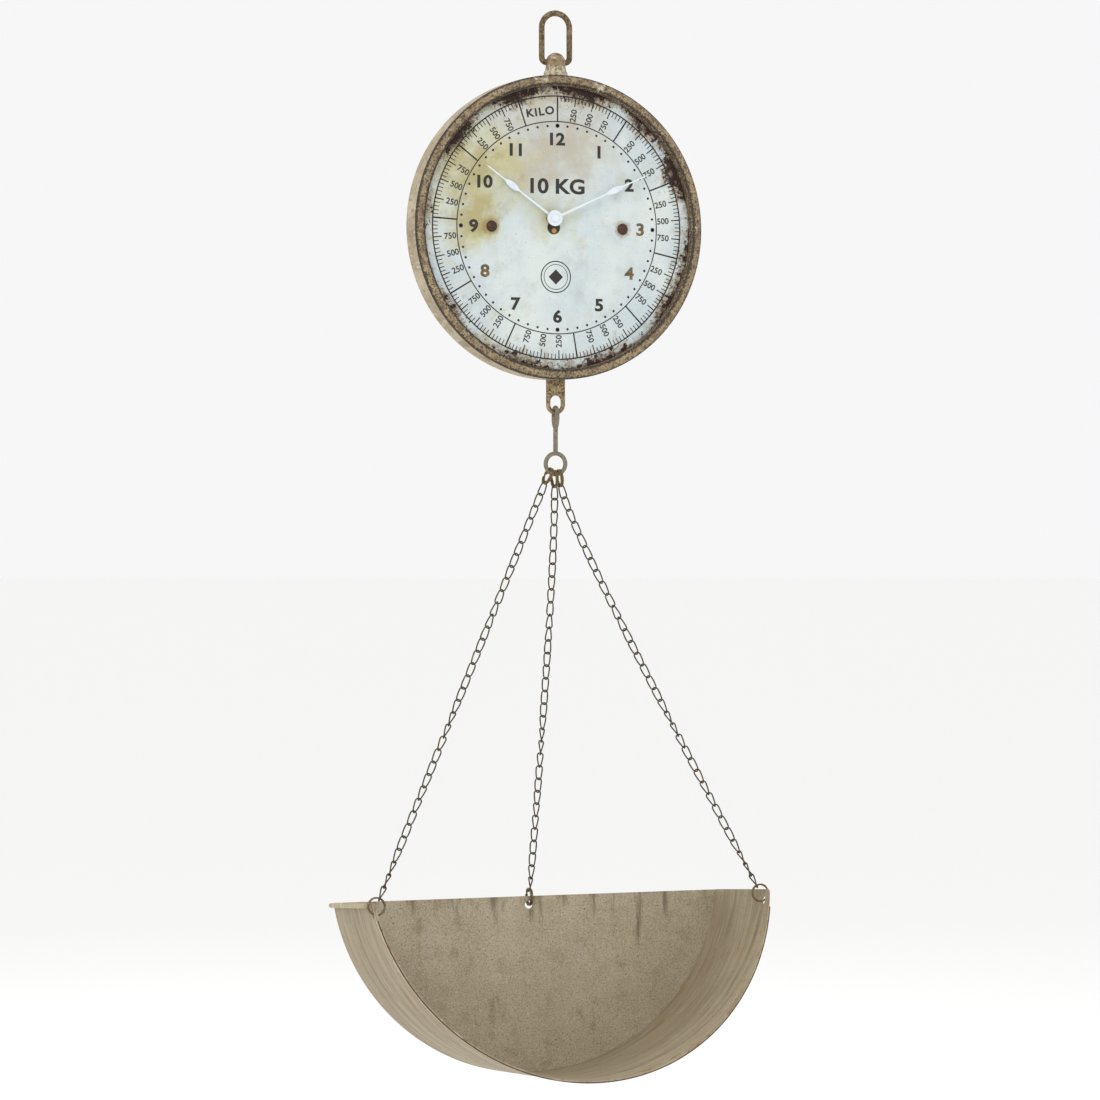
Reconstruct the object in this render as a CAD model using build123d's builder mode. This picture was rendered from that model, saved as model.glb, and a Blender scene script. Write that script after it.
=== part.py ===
from build123d import *

import os
from math import atan2, cos, degrees, pi, radians, sin, sqrt

# Hanging spring scale. A bail carries a round case with a dial, two extension
# springs inside the case carry a sliding draw bar, and a hook rod, three chains
# and a scoop pan hang from the bar. A battery clock movement sits behind the
# dial and turns the two hands.
#
# Millimetres. +X is the viewer's right, the dial faces -Y and +Z is up. The
# origin is the inside of the bail's top, where the scale hangs from its hook.

# ---------------------------------------------------------------- dimensions

# Case
dial_z = -176.6                 # height of the case's centre
case_r = 126.6
case_wall = 1.2
crest_y = -14.0                 # foremost line of the bezel
rim_y = -10.5                   # joint between the bezel and the drum
back_y = 15.8                   # flat back of the drum
back_corner_r = 4.0
back_opening_r = 112.0
bezel_opening_r = 118.0
bezel_spigot_r = 125.3
dial_y = -4.9                   # front face of the dial
dial_t = 0.5
dial_r = 119.5
dial_back_y = dial_y + dial_t
cover_front_y = back_y - 2 * case_wall
post_x = 58.0                   # the two dial screws and their posts
post_r = 4.0
screw_r = 1.5
screw_clear_r = 1.7

# Bail and neck
bail_wire_r = 2.5
bail_leg_x = 12.25
bail_arc_z = bail_wire_r - bail_leg_x
pivot_z = dial_z + 138.0
bail_bend_r = 4.0
bail_pin_x = 2.8
knob_r = 8.2
neck_foot_r = 10.0
stem_r = 2.4
nut_r = 4.2
stem_end_z = dial_z + 54.0

# Springs and draw bar
spring_x = 45.0
spring_mean_r = 3.2
spring_wire_r = 0.8
spring_top_z = dial_z + 59.1
spring_low_z = dial_z - 58.1
spring_turns = 32
bar_half_y = 3.9                # half depth of the anchor bar and the crosshead
bar_t = 3.0
anchor_z = dial_z + 60.0        # underside of the anchor bar
crosshead_z = dial_z - 59.0     # top of the crosshead
plug_r = 2.3
plug_stud_r = 1.5
plug_length = 7.0
draw_t = 2.0
draw_top_z = dial_z - 52.0
draw_narrow_w = 12.0
draw_shoulder_z = dial_z - 106.0
tab_w = 16.2
tab_hole_w = 9.7
tab_hole_top_z = dial_z - 139.6
tab_hole_low_z = dial_z - 152.2
tab_rim = (tab_w - tab_hole_w) / 2
draw_travel = 15.0
stop_pin_z = dial_z - 93.0
pin_r = 1.5
guide_top_z = stop_pin_z - pin_r - draw_travel
guide_w = 28.0

# Hook rod
hook_wire_r = 2.0
hook_pivot_z = dial_z - 149.8
hook_loop_r = 4.0
hook_loop_low_z = dial_z - 160.0
eye_z = dial_z - 196.6
eye_r = 8.7
eye_wire_r = 1.8

# Split rings and chains
ring_r = 7.0
ring_wire_r = 0.75
ring_gap = 0.45
curve_steps = 4000              # fineness of the curve that a chain hangs in
chain_wire_r = 0.62
link_inner_w = 3.9
link_play = 0.3
link_pitch = 10.9
ring_seat = 1.25                # from a link's inner end to the ring's wire centre

# Pan: a cylinder's lower part with a flat back and a slanting open front
pan_r = 173.2
pan_sheet = 1.0
pan_origin = Vector(1.1, 73.5, -716.6)
pan_yaw = -1.75
pan_pitch = 5.8                 # the front is raised
pan_rim_w = -24.3               # the rim, below the cylinder's axis
pan_length = 119.3              # depth of the pan at the cylinder's axis
pan_slant = 0.294               # the lip runs forward by this much per unit down
pan_corner_r = 10.0
side_hole_drop = 9.0
side_hole_back = 9.0
back_hole_drop = 7.3
ring_hole_r = 3.5
bead_r = 2.1
hem_w = 5.0
hem_t = 0.9

# Clock movement
hub_x = -4.5
hub_z = dial_z + 7.5
move_half = 28.0                # half the width of the movement's square box
move_front_y = dial_back_y + 0.5
move_back_y = move_front_y + 16.0
move_wall = 1.2
bay_low = -27.0                 # battery bay, below the hub
bay_high = -12.0
battery_r = 7.15
tooth_module = 0.5
minute_teeth = 10
centre_teeth = 30
small_teeth = 8
hour_teeth = 32
setting_teeth = 20
train_angle = 45.0              # direction of the intermediate wheel from the hub
setting_angle = 100.0           # direction of the setting wheel from that wheel
minute_arbor_r = 1.6
hour_tube_r = 2.65
hour_bore_r = 1.68
hour_angle = 305.7              # the hands stand at eleven minutes past ten
minute_angle = 65.3
hour_length = 73.4
minute_length = 90.6
hand_t = 0.5
hour_hand_y = -9.1
minute_hand_y = -11.1


# ------------------------------------------------------------------- helpers

def face_plane(y, x=0.0, z=dial_z):
    """A plane at depth y whose normal points at the viewer."""
    return Plane(origin=(x, y, z), x_dir=(1, 0, 0), z_dir=(0, -1, 0))


def deck_plane(z, x=0.0, y=0.0):
    """A level plane at height z, its normal up."""
    return Plane(origin=(x, y, z), x_dir=(1, 0, 0), z_dir=(0, 0, 1))


def hand_plane(y, angle):
    """A plane at the hub, its own +Y turned clockwise from 12 by the angle."""
    turn = radians(angle)
    return Plane(origin=(hub_x, y, hub_z), x_dir=(cos(turn), 0, -sin(turn)), z_dir=(0, -1, 0))


def gear_profile(teeth, phase):
    """A toothed disc with one tooth pointing along the phase angle."""
    pitch_r = tooth_module * teeth / 2
    root_r = pitch_r - 1.2 * tooth_module
    tip_r = pitch_r + 0.85 * tooth_module
    root_half = 0.30 * pi * tooth_module
    tip_half = 0.11 * pi * tooth_module
    with BuildSketch() as profile:
        Circle(root_r)
        with PolarLocations(0, teeth, start_angle=phase):
            Polygon(
                (root_r - 0.15, -root_half),
                (tip_r, -tip_half),
                (tip_r, tip_half),
                (root_r - 0.15, root_half),
                align=None,
            )
    return profile.sketch


def hand_profile(length, leaf_at, leaf_length, leaf_w, hub_r):
    """A spade hand along +Y: a hub disc, a thin stem, a leaf and a fine tip."""
    leaf_low = leaf_at - leaf_length / 2
    leaf_high = leaf_at + leaf_length / 2
    with BuildSketch() as profile:
        Circle(hub_r)
        Polygon(
            (-1.1, 0), (1.1, 0), (0.6, leaf_low + 1), (0.55, length - 3),
            (0, length), (-0.55, length - 3), (-0.6, leaf_low + 1), align=None,
        )
        with BuildLine():
            ThreePointArc((0, leaf_low), (-leaf_w / 2, leaf_at - 1), (0, leaf_high))
            ThreePointArc((0, leaf_high), (leaf_w / 2, leaf_at - 1), (0, leaf_low))
        make_face()
    return profile.sketch


def split_ring(centre, normal):
    """Two touching turns of wire round the centre."""
    with BuildPart() as ring:
        for side in (-1, 1):
            turn = Plane(origin=centre + normal * (side * ring_wire_r * 0.98), z_dir=normal)
            with BuildSketch(Plane(origin=turn.origin + turn.x_dir * ring_r,
                                   x_dir=turn.x_dir, z_dir=turn.y_dir)):
                Circle(ring_wire_r)
            revolve(axis=Axis(turn.origin, normal))
    return ring


def chain_link(inner_length):
    """One plain link, its length along Z and its width along X."""
    bend_r = link_inner_w / 2 + chain_wire_r
    half = inner_length / 2 + chain_wire_r - bend_r
    with BuildPart() as link:
        with BuildLine(Plane.XZ) as path:
            Line((bend_r, -half), (bend_r, half))
            CenterArc((0, half), bend_r, 0, 180)
            Line((-bend_r, half), (-bend_r, -half))
            CenterArc((0, -half), bend_r, 180, 180)
        with BuildSketch(Plane(origin=(bend_r, 0, -half), z_dir=(0, 0, 1))):
            Circle(chain_wire_r)
        sweep(path=path.wires()[0])
    return link.part


def across(direction, axis):
    """The axis made square to the direction."""
    return (axis - direction * axis.dot(direction)).normalized()


def hanging_point(top, sag, low, t):
    """A point of the soft curve that a chain hangs in, t running from 0 to 1."""
    return top * (1 - t) ** 2 + sag * (2 * t * (1 - t)) + low * t ** 2


def spaced_points(top, sag, low, pitch, count):
    """Points along that curve, from its start to its end, one pitch apart."""
    points = [top]
    travelled = 0.0
    last = top
    for i in range(1, curve_steps):
        here = hanging_point(top, sag, low, i / curve_steps)
        travelled += (here - last).length
        last = here
        if travelled >= len(points) * pitch and len(points) < count:
            points.append(here)
    return points + [low]


def hanging_length(top, sag, low):
    marks = [hanging_point(top, sag, low, i / curve_steps) for i in range(curve_steps + 1)]
    return sum((there - here).length for here, there in zip(marks, marks[1:]))


def chain_between(top, sag, low, top_width, low_width):
    """Interlocked links along the curve, from the upper ring's wire to the lower ring's."""
    run = hanging_length(top, sag, low)
    count = round(run / link_pitch)
    pitch = run / count
    ends = spaced_points(top, sag, low, pitch, count)
    link = chain_link(pitch + link_play)
    width = top_width
    level = []
    for here, there in zip(ends, ends[1:]):
        width = across((there - here).normalized(), width)
        level.append(width)
    last_down = (ends[-1] - ends[-2]).normalized()
    wanted = across(last_down, low_width)
    side = last_down.cross(level[-1])
    extra = degrees(atan2(wanted.dot(side), wanted.dot(level[-1]))) - 90 * (count - 1)
    extra = (extra + 90) % 180 - 90
    with BuildPart() as chain:
        for i, (here, there) in enumerate(zip(ends, ends[1:])):
            down = (there - here).normalized()
            turn = radians(90 * i + extra * i / (count - 1))
            turned = level[i] * cos(turn) + down.cross(level[i]) * sin(turn)
            place = Plane(origin=(here + there) * 0.5, x_dir=turned, z_dir=down)
            with Locations(place.location):
                add(link)
    return chain


os.makedirs("parts", exist_ok=True)
case_axis = Axis((0, 0, dial_z), (0, 1, 0))
case_section = Plane(origin=(0, 0, dial_z), x_dir=(1, 0, 0), z_dir=(0, 0, 1))

# --------------------------------------------------------------- bail and neck

with BuildPart() as bail:
    with BuildLine(Plane.XZ) as bail_path:
        Line((bail_pin_x, pivot_z), (bail_leg_x - bail_bend_r, pivot_z))
        CenterArc((bail_leg_x - bail_bend_r, pivot_z + bail_bend_r), bail_bend_r, -90, 90)
        Line((bail_leg_x, pivot_z + bail_bend_r), (bail_leg_x, bail_arc_z))
        CenterArc((0, bail_arc_z), bail_leg_x, 0, 180)
        Line((-bail_leg_x, bail_arc_z), (-bail_leg_x, pivot_z + bail_bend_r))
        CenterArc((bail_bend_r - bail_leg_x, pivot_z + bail_bend_r), bail_bend_r, 180, 90)
        Line((bail_bend_r - bail_leg_x, pivot_z), (-bail_pin_x, pivot_z))
    with BuildSketch(Plane(origin=(bail_pin_x, 0, pivot_z), z_dir=(1, 0, 0))):
        Circle(bail_wire_r)
    sweep(path=bail_path.wires()[0])
bail.part.label = "bail"
export_step(bail.part, "parts/bail.step")

with BuildPart() as top_neck:
    with BuildSketch(Plane.XZ):
        with BuildLine():
            foot_z = dial_z + 129.0
            skirt_z = dial_z + case_r - 2.0
            dome = pivot_z + knob_r
            Line((0, skirt_z), (0, dome))
            ThreePointArc((0, dome), (knob_r * sin(pi / 4), pivot_z + knob_r * cos(pi / 4)), (knob_r, pivot_z))
            Line((knob_r, pivot_z), (knob_r, pivot_z - 2.5))
            ThreePointArc((knob_r, pivot_z - 2.5), (knob_r + 0.5, pivot_z - 6.2), (neck_foot_r, foot_z))
            Line((neck_foot_r, foot_z), (neck_foot_r, skirt_z))
            Line((neck_foot_r, skirt_z), (0, skirt_z))
        make_face()
    revolve(axis=Axis.Z)
    with BuildSketch(face_plane(0)):
        Circle(case_r + 0.02)
    extrude(amount=20, both=True, mode=Mode.SUBTRACT)
    with BuildSketch(deck_plane(stem_end_z)):
        Circle(stem_r)
    extrude(amount=pivot_z - 6 - stem_end_z)
    with Locations(Location((0, 0, pivot_z), (0, 90, 0))):
        Hole(radius=bail_wire_r + 0.06)
top_neck.part.label = "top_neck"
export_step(top_neck.part, "parts/top_neck.step")

with BuildPart() as stem_nuts:
    for nut_z in (dial_z + 120.0, anchor_z + bar_t, anchor_z - 5.0):
        with BuildSketch(deck_plane(nut_z)):
            RegularPolygon(radius=nut_r, side_count=6, rotation=30)
            Circle(stem_r + 0.03, mode=Mode.SUBTRACT)
        extrude(amount=5.0)
stem_nuts.part.label = "stem_nuts"
export_step(stem_nuts.part, "parts/stem_nuts.step")

# ------------------------------------------------------------------------ case

with BuildPart() as case_drum:
    corner_y = back_y - back_corner_r
    corner_x = case_r - back_corner_r
    inner_corner_r = back_corner_r - case_wall
    with BuildSketch(case_section):
        with BuildLine():
            Line((case_r, rim_y), (case_r, corner_y))
            CenterArc((corner_x, corner_y), back_corner_r, 0, 90)
            Line((corner_x, back_y), (back_opening_r, back_y))
            Line((back_opening_r, back_y), (back_opening_r, back_y - case_wall))
            Line((back_opening_r, back_y - case_wall), (corner_x, back_y - case_wall))
            CenterArc((corner_x, corner_y), inner_corner_r, 0, 90)
            Line((case_r - case_wall, corner_y), (case_r - case_wall, rim_y))
            Line((case_r - case_wall, rim_y), (case_r, rim_y))
        make_face()
    revolve(axis=case_axis)
    with BuildSketch(deck_plane(dial_z + case_r - 5)):
        Circle(stem_r + 0.1)
    extrude(amount=10, mode=Mode.SUBTRACT)
    with BuildSketch(deck_plane(dial_z - case_r - 5)):
        Rectangle(tab_w + 0.8, draw_t + 0.8)
    extrude(amount=10, mode=Mode.SUBTRACT)
case_drum.part.label = "case_drum"
export_step(case_drum.part, "parts/case_drum.step")

with BuildPart() as bezel:
    crest_r = 122.4
    with BuildSketch(case_section):
        with BuildLine():
            Line((case_r, rim_y), (case_r, rim_y - 0.4))
            ThreePointArc((case_r, rim_y - 0.4), (case_r - 1.2, crest_y + 0.9), (crest_r, crest_y))
            ThreePointArc((crest_r, crest_y), (bezel_opening_r + 1.1, crest_y + 0.8), (bezel_opening_r, crest_y + 2.4))
            Line((bezel_opening_r, crest_y + 2.4), (bezel_opening_r, dial_y - 0.05))
            Line((bezel_opening_r, dial_y - 0.05), (bezel_opening_r + 1.2, dial_y - 0.05))
            Line((bezel_opening_r + 1.2, dial_y - 0.05), (bezel_opening_r + 1.2, rim_y + 2.5))
            Line((bezel_opening_r + 1.2, rim_y + 2.5), (bezel_spigot_r, rim_y + 2.5))
            Line((bezel_spigot_r, rim_y + 2.5), (bezel_spigot_r, rim_y))
            Line((bezel_spigot_r, rim_y), (case_r, rim_y))
        make_face()
    revolve(axis=case_axis)
bezel.part.label = "bezel"
export_step(bezel.part, "parts/bezel.step")

with BuildPart() as dial_plate:
    with BuildSketch(face_plane(dial_back_y)):
        Circle(dial_r)
        with Locations((hub_x, hub_z - dial_z)):
            Circle(4.3, mode=Mode.SUBTRACT)
        with Locations((-post_x, 0), (post_x, 0)):
            Circle(screw_clear_r, mode=Mode.SUBTRACT)
    extrude(amount=dial_t)
dial_plate.part.label = "dial_plate"
export_step(dial_plate.part, "parts/dial_plate.step")

with BuildPart() as dial_seat_ring:
    with BuildSketch(face_plane(dial_back_y + 2.0)):
        Circle(case_r - case_wall - 0.02)
        Circle(113.0, mode=Mode.SUBTRACT)
    extrude(amount=2.0)
    with BuildSketch(deck_plane(dial_z - case_r - 1)):
        Rectangle(guide_w + 0.8, 12)
    extrude(amount=20, mode=Mode.SUBTRACT)
    with BuildSketch(deck_plane(dial_z + case_r - 20)):
        Rectangle(14, 16)
    extrude(amount=22, mode=Mode.SUBTRACT)
dial_seat_ring.part.label = "dial_seat_ring"
export_step(dial_seat_ring.part, "parts/dial_seat_ring.step")

with BuildPart() as dial_posts:
    with BuildSketch(face_plane(cover_front_y)):
        with Locations((-post_x, 0), (post_x, 0)):
            Circle(post_r)
            Circle(screw_r + 0.03, mode=Mode.SUBTRACT)
    extrude(amount=cover_front_y - dial_back_y)
dial_posts.part.label = "dial_posts"
export_step(dial_posts.part, "parts/dial_posts.step")

with BuildPart() as dial_screws:
    head_r = 4.8
    head_h = 2.2
    dome_r = (head_r ** 2 + head_h ** 2) / (2 * head_h)
    dome_half = degrees(atan2(head_r, dome_r - head_h))
    for x in (-post_x, post_x):
        with BuildSketch(Plane(origin=(x, dial_y, dial_z), x_dir=(1, 0, 0), z_dir=(0, 0, 1))):
            with BuildLine():
                CenterArc((0, dome_r - head_h), dome_r, -90, dome_half)
                Line((head_r, 0), (screw_r, 0))
                Line((screw_r, 0), (screw_r, 8.0))
                Line((screw_r, 8.0), (0, 8.0))
                Line((0, 8.0), (0, -head_h))
            make_face()
        revolve(axis=Axis((x, 0, dial_z), (0, 1, 0)))
dial_screws.part.label = "dial_screws"
export_step(dial_screws.part, "parts/dial_screws.step")

with BuildPart() as back_cover:
    with BuildSketch(face_plane(back_y - case_wall)):
        Circle(116.0)
        with Locations((hub_x, hub_z - dial_z)):
            Rectangle(60, 60, mode=Mode.SUBTRACT)
        with Locations((-post_x, 0), (post_x, 0)):
            Circle(screw_clear_r, mode=Mode.SUBTRACT)
    extrude(amount=case_wall - 0.02)
back_cover.part.label = "back_cover"
export_step(back_cover.part, "parts/back_cover.step")

with BuildPart() as back_cover_screws:
    for x in (-post_x, post_x):
        with BuildSketch(face_plane(back_y - 0.1, x)):
            Circle(3.0)
            Rectangle(4.4, 0.8, mode=Mode.SUBTRACT)
        extrude(amount=1.08)
        with BuildSketch(face_plane(back_y - case_wall, x)):
            Circle(screw_r)
        extrude(amount=8.0)
back_cover_screws.part.label = "back_cover_screws"
export_step(back_cover_screws.part, "parts/back_cover_screws.step")

# -------------------------------------------------------- springs and draw bar

with BuildPart() as spring_anchor_bar:
    with BuildSketch(deck_plane(anchor_z)):
        SlotOverall(2 * spring_x + 12, 2 * bar_half_y)
        Circle(stem_r + 0.05, mode=Mode.SUBTRACT)
        with Locations((-spring_x, 0), (spring_x, 0)):
            Circle(plug_stud_r + 0.03, mode=Mode.SUBTRACT)
    extrude(amount=bar_t)
spring_anchor_bar.part.label = "spring_anchor_bar"
export_step(spring_anchor_bar.part, "parts/spring_anchor_bar.step")

with BuildPart() as upper_spring_plugs:
    for x in (-spring_x, spring_x):
        with BuildSketch(deck_plane(anchor_z - plug_length, x)):
            Circle(plug_r)
        extrude(amount=plug_length - 0.02)
        with BuildSketch(deck_plane(anchor_z - 1, x)):
            Circle(plug_stud_r)
        extrude(amount=bar_t + 2)
        with BuildSketch(deck_plane(anchor_z + bar_t, x)):
            RegularPolygon(radius=3.2, side_count=6)
        extrude(amount=2.4)
upper_spring_plugs.part.label = "upper_spring_plugs"
export_step(upper_spring_plugs.part, "parts/upper_spring_plugs.step")

with BuildPart() as spring_left:
    with BuildLine() as left_coil:
        Helix(
            pitch=(spring_top_z - spring_low_z) / spring_turns,
            height=spring_top_z - spring_low_z,
            radius=spring_mean_r,
            center=(-spring_x, 0, spring_low_z),
        )
    with BuildSketch(Plane(origin=left_coil.line @ 0, z_dir=left_coil.line % 0)):
        Circle(spring_wire_r)
    sweep(path=left_coil.line, is_frenet=True)
spring_left.part.label = "spring_left"
export_step(spring_left.part, "parts/spring_left.step")

with BuildPart() as spring_right:
    with BuildLine() as right_coil:
        Helix(
            pitch=(spring_top_z - spring_low_z) / spring_turns,
            height=spring_top_z - spring_low_z,
            radius=spring_mean_r,
            center=(spring_x, 0, spring_low_z),
        )
    with BuildSketch(Plane(origin=right_coil.line @ 0, z_dir=right_coil.line % 0)):
        Circle(spring_wire_r)
    sweep(path=right_coil.line, is_frenet=True)
spring_right.part.label = "spring_right"
export_step(spring_right.part, "parts/spring_right.step")

with BuildPart() as lower_spring_plugs:
    for x in (-spring_x, spring_x):
        with BuildSketch(deck_plane(crosshead_z + 0.02, x)):
            Circle(plug_r)
        extrude(amount=plug_length)
        with BuildSketch(deck_plane(crosshead_z - bar_t - 1, x)):
            Circle(plug_stud_r)
        extrude(amount=bar_t + 2)
        with BuildSketch(deck_plane(crosshead_z - bar_t - 2.4, x)):
            RegularPolygon(radius=3.2, side_count=6)
        extrude(amount=2.4)
lower_spring_plugs.part.label = "lower_spring_plugs"
export_step(lower_spring_plugs.part, "parts/lower_spring_plugs.step")

with BuildPart() as crosshead:
    with BuildSketch(deck_plane(crosshead_z - bar_t)):
        SlotOverall(2 * spring_x + 12, 2 * bar_half_y)
        Rectangle(draw_narrow_w + 0.1, draw_t + 0.1, mode=Mode.SUBTRACT)
        with Locations((-spring_x, 0), (spring_x, 0)):
            Circle(plug_stud_r + 0.03, mode=Mode.SUBTRACT)
    extrude(amount=bar_t)
crosshead.part.label = "crosshead"
export_step(crosshead.part, "parts/crosshead.step")

draw_pin_z = crosshead_z + pin_r + 0.02
with BuildPart() as draw_bar:
    narrow = draw_narrow_w / 2
    wide = tab_w / 2
    tab_low_z = tab_hole_low_z - tab_rim
    tab_arc_z = tab_low_z + wide
    with BuildSketch(Plane.XZ.offset(-draw_t / 2)):
        with BuildLine():
            Line((-narrow, draw_top_z), (narrow, draw_top_z))
            Line((narrow, draw_top_z), (narrow, draw_shoulder_z))
            Line((narrow, draw_shoulder_z), (wide, draw_shoulder_z))
            Line((wide, draw_shoulder_z), (wide, tab_arc_z))
            CenterArc((0, tab_arc_z), wide, 0, -180)
            Line((-wide, tab_arc_z), (-wide, draw_shoulder_z))
            Line((-wide, draw_shoulder_z), (-narrow, draw_shoulder_z))
            Line((-narrow, draw_shoulder_z), (-narrow, draw_top_z))
        make_face()
        with Locations((0, (tab_hole_top_z + tab_hole_low_z) / 2)):
            SlotOverall(tab_hole_top_z - tab_hole_low_z, tab_hole_w, rotation=90, mode=Mode.SUBTRACT)
        with Locations((0, draw_pin_z), (0, stop_pin_z)):
            Circle(pin_r + 0.02, mode=Mode.SUBTRACT)
    extrude(amount=draw_t)
draw_bar.part.label = "draw_bar"
export_step(draw_bar.part, "parts/draw_bar.step")

with BuildPart() as draw_bar_pins:
    for z in (draw_pin_z, stop_pin_z):
        with BuildSketch(face_plane(bar_half_y, 0, z)):
            Circle(pin_r)
        extrude(amount=2 * bar_half_y)
draw_bar_pins.part.label = "draw_bar_pins"
export_step(draw_bar_pins.part, "parts/draw_bar_pins.step")

with BuildPart() as draw_bar_guide:
    with BuildSketch(deck_plane(dial_z - case_r)):
        Rectangle(guide_w, 2 * bar_half_y)
        Rectangle(tab_w + 0.3, draw_t + 0.3, mode=Mode.SUBTRACT)
    extrude(amount=guide_top_z - dial_z + case_r)
    with BuildSketch(face_plane(0)):
        Circle(case_r - case_wall - 0.02)
    extrude(amount=10, both=True, mode=Mode.INTERSECT)
draw_bar_guide.part.label = "draw_bar_guide"
export_step(draw_bar_guide.part, "parts/draw_bar_guide.step")

# -------------------------------------------------------------------- hook rod

with BuildPart() as hook_rod:
    loop_top = hook_pivot_z - hook_loop_r
    with BuildLine(Plane.YZ) as loop_path:
        Line((hook_loop_r, hook_loop_low_z), (hook_loop_r, loop_top))
        CenterArc((0, loop_top), hook_loop_r, 0, 180)
        Line((-hook_loop_r, loop_top), (-hook_loop_r, hook_loop_low_z))
        CenterArc((0, hook_loop_low_z), hook_loop_r, 180, 180)
    with BuildSketch(Plane(origin=(0, hook_loop_r, hook_loop_low_z), z_dir=(0, 0, 1))):
        Circle(hook_wire_r)
    sweep(path=loop_path.wires()[0])
    with BuildSketch(deck_plane(eye_z + eye_r)):
        Circle(hook_wire_r)
    extrude(amount=hook_loop_low_z - hook_loop_r - eye_z - eye_r)
    with BuildSketch(Plane(origin=(eye_r, 0, eye_z), x_dir=(1, 0, 0), z_dir=(0, 0, 1))):
        Circle(eye_wire_r)
    revolve(axis=Axis((0, 0, eye_z), (0, 1, 0)))
hook_rod.part.label = "hook_rod"
export_step(hook_rod.part, "parts/hook_rod.step")

# ------------------------------------------------------------------------- pan

yaw = radians(pan_yaw)
pitch = radians(pan_pitch)
pan_u = Vector(cos(yaw), sin(yaw), 0)
pan_w = Vector(-sin(yaw) * sin(pitch), cos(yaw) * sin(pitch), cos(pitch))
pan_front = pan_u.cross(pan_w)
pan_face = Plane(origin=pan_origin, x_dir=pan_u, z_dir=pan_front)
pan_side = Plane(origin=pan_origin, x_dir=pan_front, z_dir=-pan_u)


def lip(w):
    """How far forward of the back the pan's open edge stands at height w."""
    return pan_length - pan_slant * w


def pan_point(u, forward, w):
    return pan_origin + pan_u * u + pan_front * forward + pan_w * w


side_hole_w = pan_rim_w - side_hole_drop
side_hole_forward = lip(pan_rim_w) - side_hole_back
side_hole_u = sqrt((pan_r - pan_sheet / 2) ** 2 - side_hole_w ** 2)
pan_low_w = -pan_r - 5

with BuildPart() as pan_trough:
    with BuildSketch(pan_face):
        Circle(pan_r)
        Circle(pan_r - pan_sheet, mode=Mode.SUBTRACT)
    extrude(amount=lip(pan_low_w))
    with BuildSketch(pan_side):
        with BuildLine():
            rim_corner = (lip(pan_rim_w), pan_rim_w)
            low_corner = (lip(pan_low_w), pan_low_w)
            Polyline((0, pan_rim_w), rim_corner, low_corner, (0, pan_low_w), close=True)
        make_face()
        fillet(vertices().sort_by_distance(pan_point(0, *rim_corner))[:1], pan_corner_r)
    extrude(amount=pan_r + 5, both=True, mode=Mode.INTERSECT)
    with BuildSketch(pan_side):
        with Locations((side_hole_forward, side_hole_w)):
            Circle(ring_hole_r)
    extrude(amount=pan_r + 5, both=True, mode=Mode.SUBTRACT)
pan_trough.part.label = "pan_trough"
export_step(pan_trough.part, "parts/pan_trough.step")

with BuildPart() as pan_back:
    with BuildSketch(pan_face.offset(0.3)):
        Circle(pan_r - pan_sheet - 0.02)
        with Locations((0, pan_rim_w + pan_r)):
            Rectangle(2.2 * pan_r, 2 * pan_r, mode=Mode.SUBTRACT)
        with Locations((0, pan_rim_w - back_hole_drop)):
            Circle(ring_hole_r, mode=Mode.SUBTRACT)
    extrude(amount=pan_sheet)
pan_back.part.label = "pan_back"
export_step(pan_back.part, "parts/pan_back.step")

with BuildPart() as pan_rim_beads:
    bead_u = sqrt(pan_r ** 2 - pan_rim_w ** 2) + bead_r
    for side in (-1, 1):
        with BuildSketch(pan_face.offset(1.0)):
            with Locations((side * bead_u, pan_rim_w - bead_r)):
                Circle(bead_r)
        extrude(amount=lip(pan_rim_w) - 2 * side_hole_back)
pan_rim_beads.part.label = "pan_rim_beads"
export_step(pan_rim_beads.part, "parts/pan_rim_beads.step")

with BuildPart() as pan_front_hem:
    hem_top_w = pan_rim_w - 14.0
    with BuildSketch(pan_face.offset(lip(0) - 5)):
        Circle(pan_r + 0.02 + hem_t)
        Circle(pan_r + 0.02, mode=Mode.SUBTRACT)
    extrude(amount=lip(pan_low_w) - lip(0) + 5)
    with BuildSketch(pan_side):
        with BuildLine():
            Polyline(
                (lip(hem_top_w) - hem_w, hem_top_w),
                (lip(hem_top_w), hem_top_w),
                (lip(pan_low_w), pan_low_w),
                (lip(pan_low_w) - hem_w, pan_low_w),
                close=True,
            )
        make_face()
    extrude(amount=pan_r + 5, both=True, mode=Mode.INTERSECT)
pan_front_hem.part.label = "pan_front_hem"
export_step(pan_front_hem.part, "parts/pan_front_hem.step")

# ------------------------------------------------------- split rings and chains

eye_centre = Vector(0, 0, eye_z)
seat_r = eye_r - eye_wire_r - ring_wire_r - ring_gap
chain_start = 2 * ring_r - ring_seat + link_play / 2
back_hole = pan_point(0, 0.3 + pan_sheet / 2, pan_rim_w - back_hole_drop)
hangings = {
    "left": (-48.0, None, pan_point(-side_hole_u, side_hole_forward, side_hole_w), pan_front),
    "middle": (-10.0, Vector(3.0, 6.0, -72.0), back_hole, pan_u),
    "right": (28.0, Vector(3.0, -5.0, -33.0), pan_point(side_hole_u, side_hole_forward, side_hole_w), pan_front),
}

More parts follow.
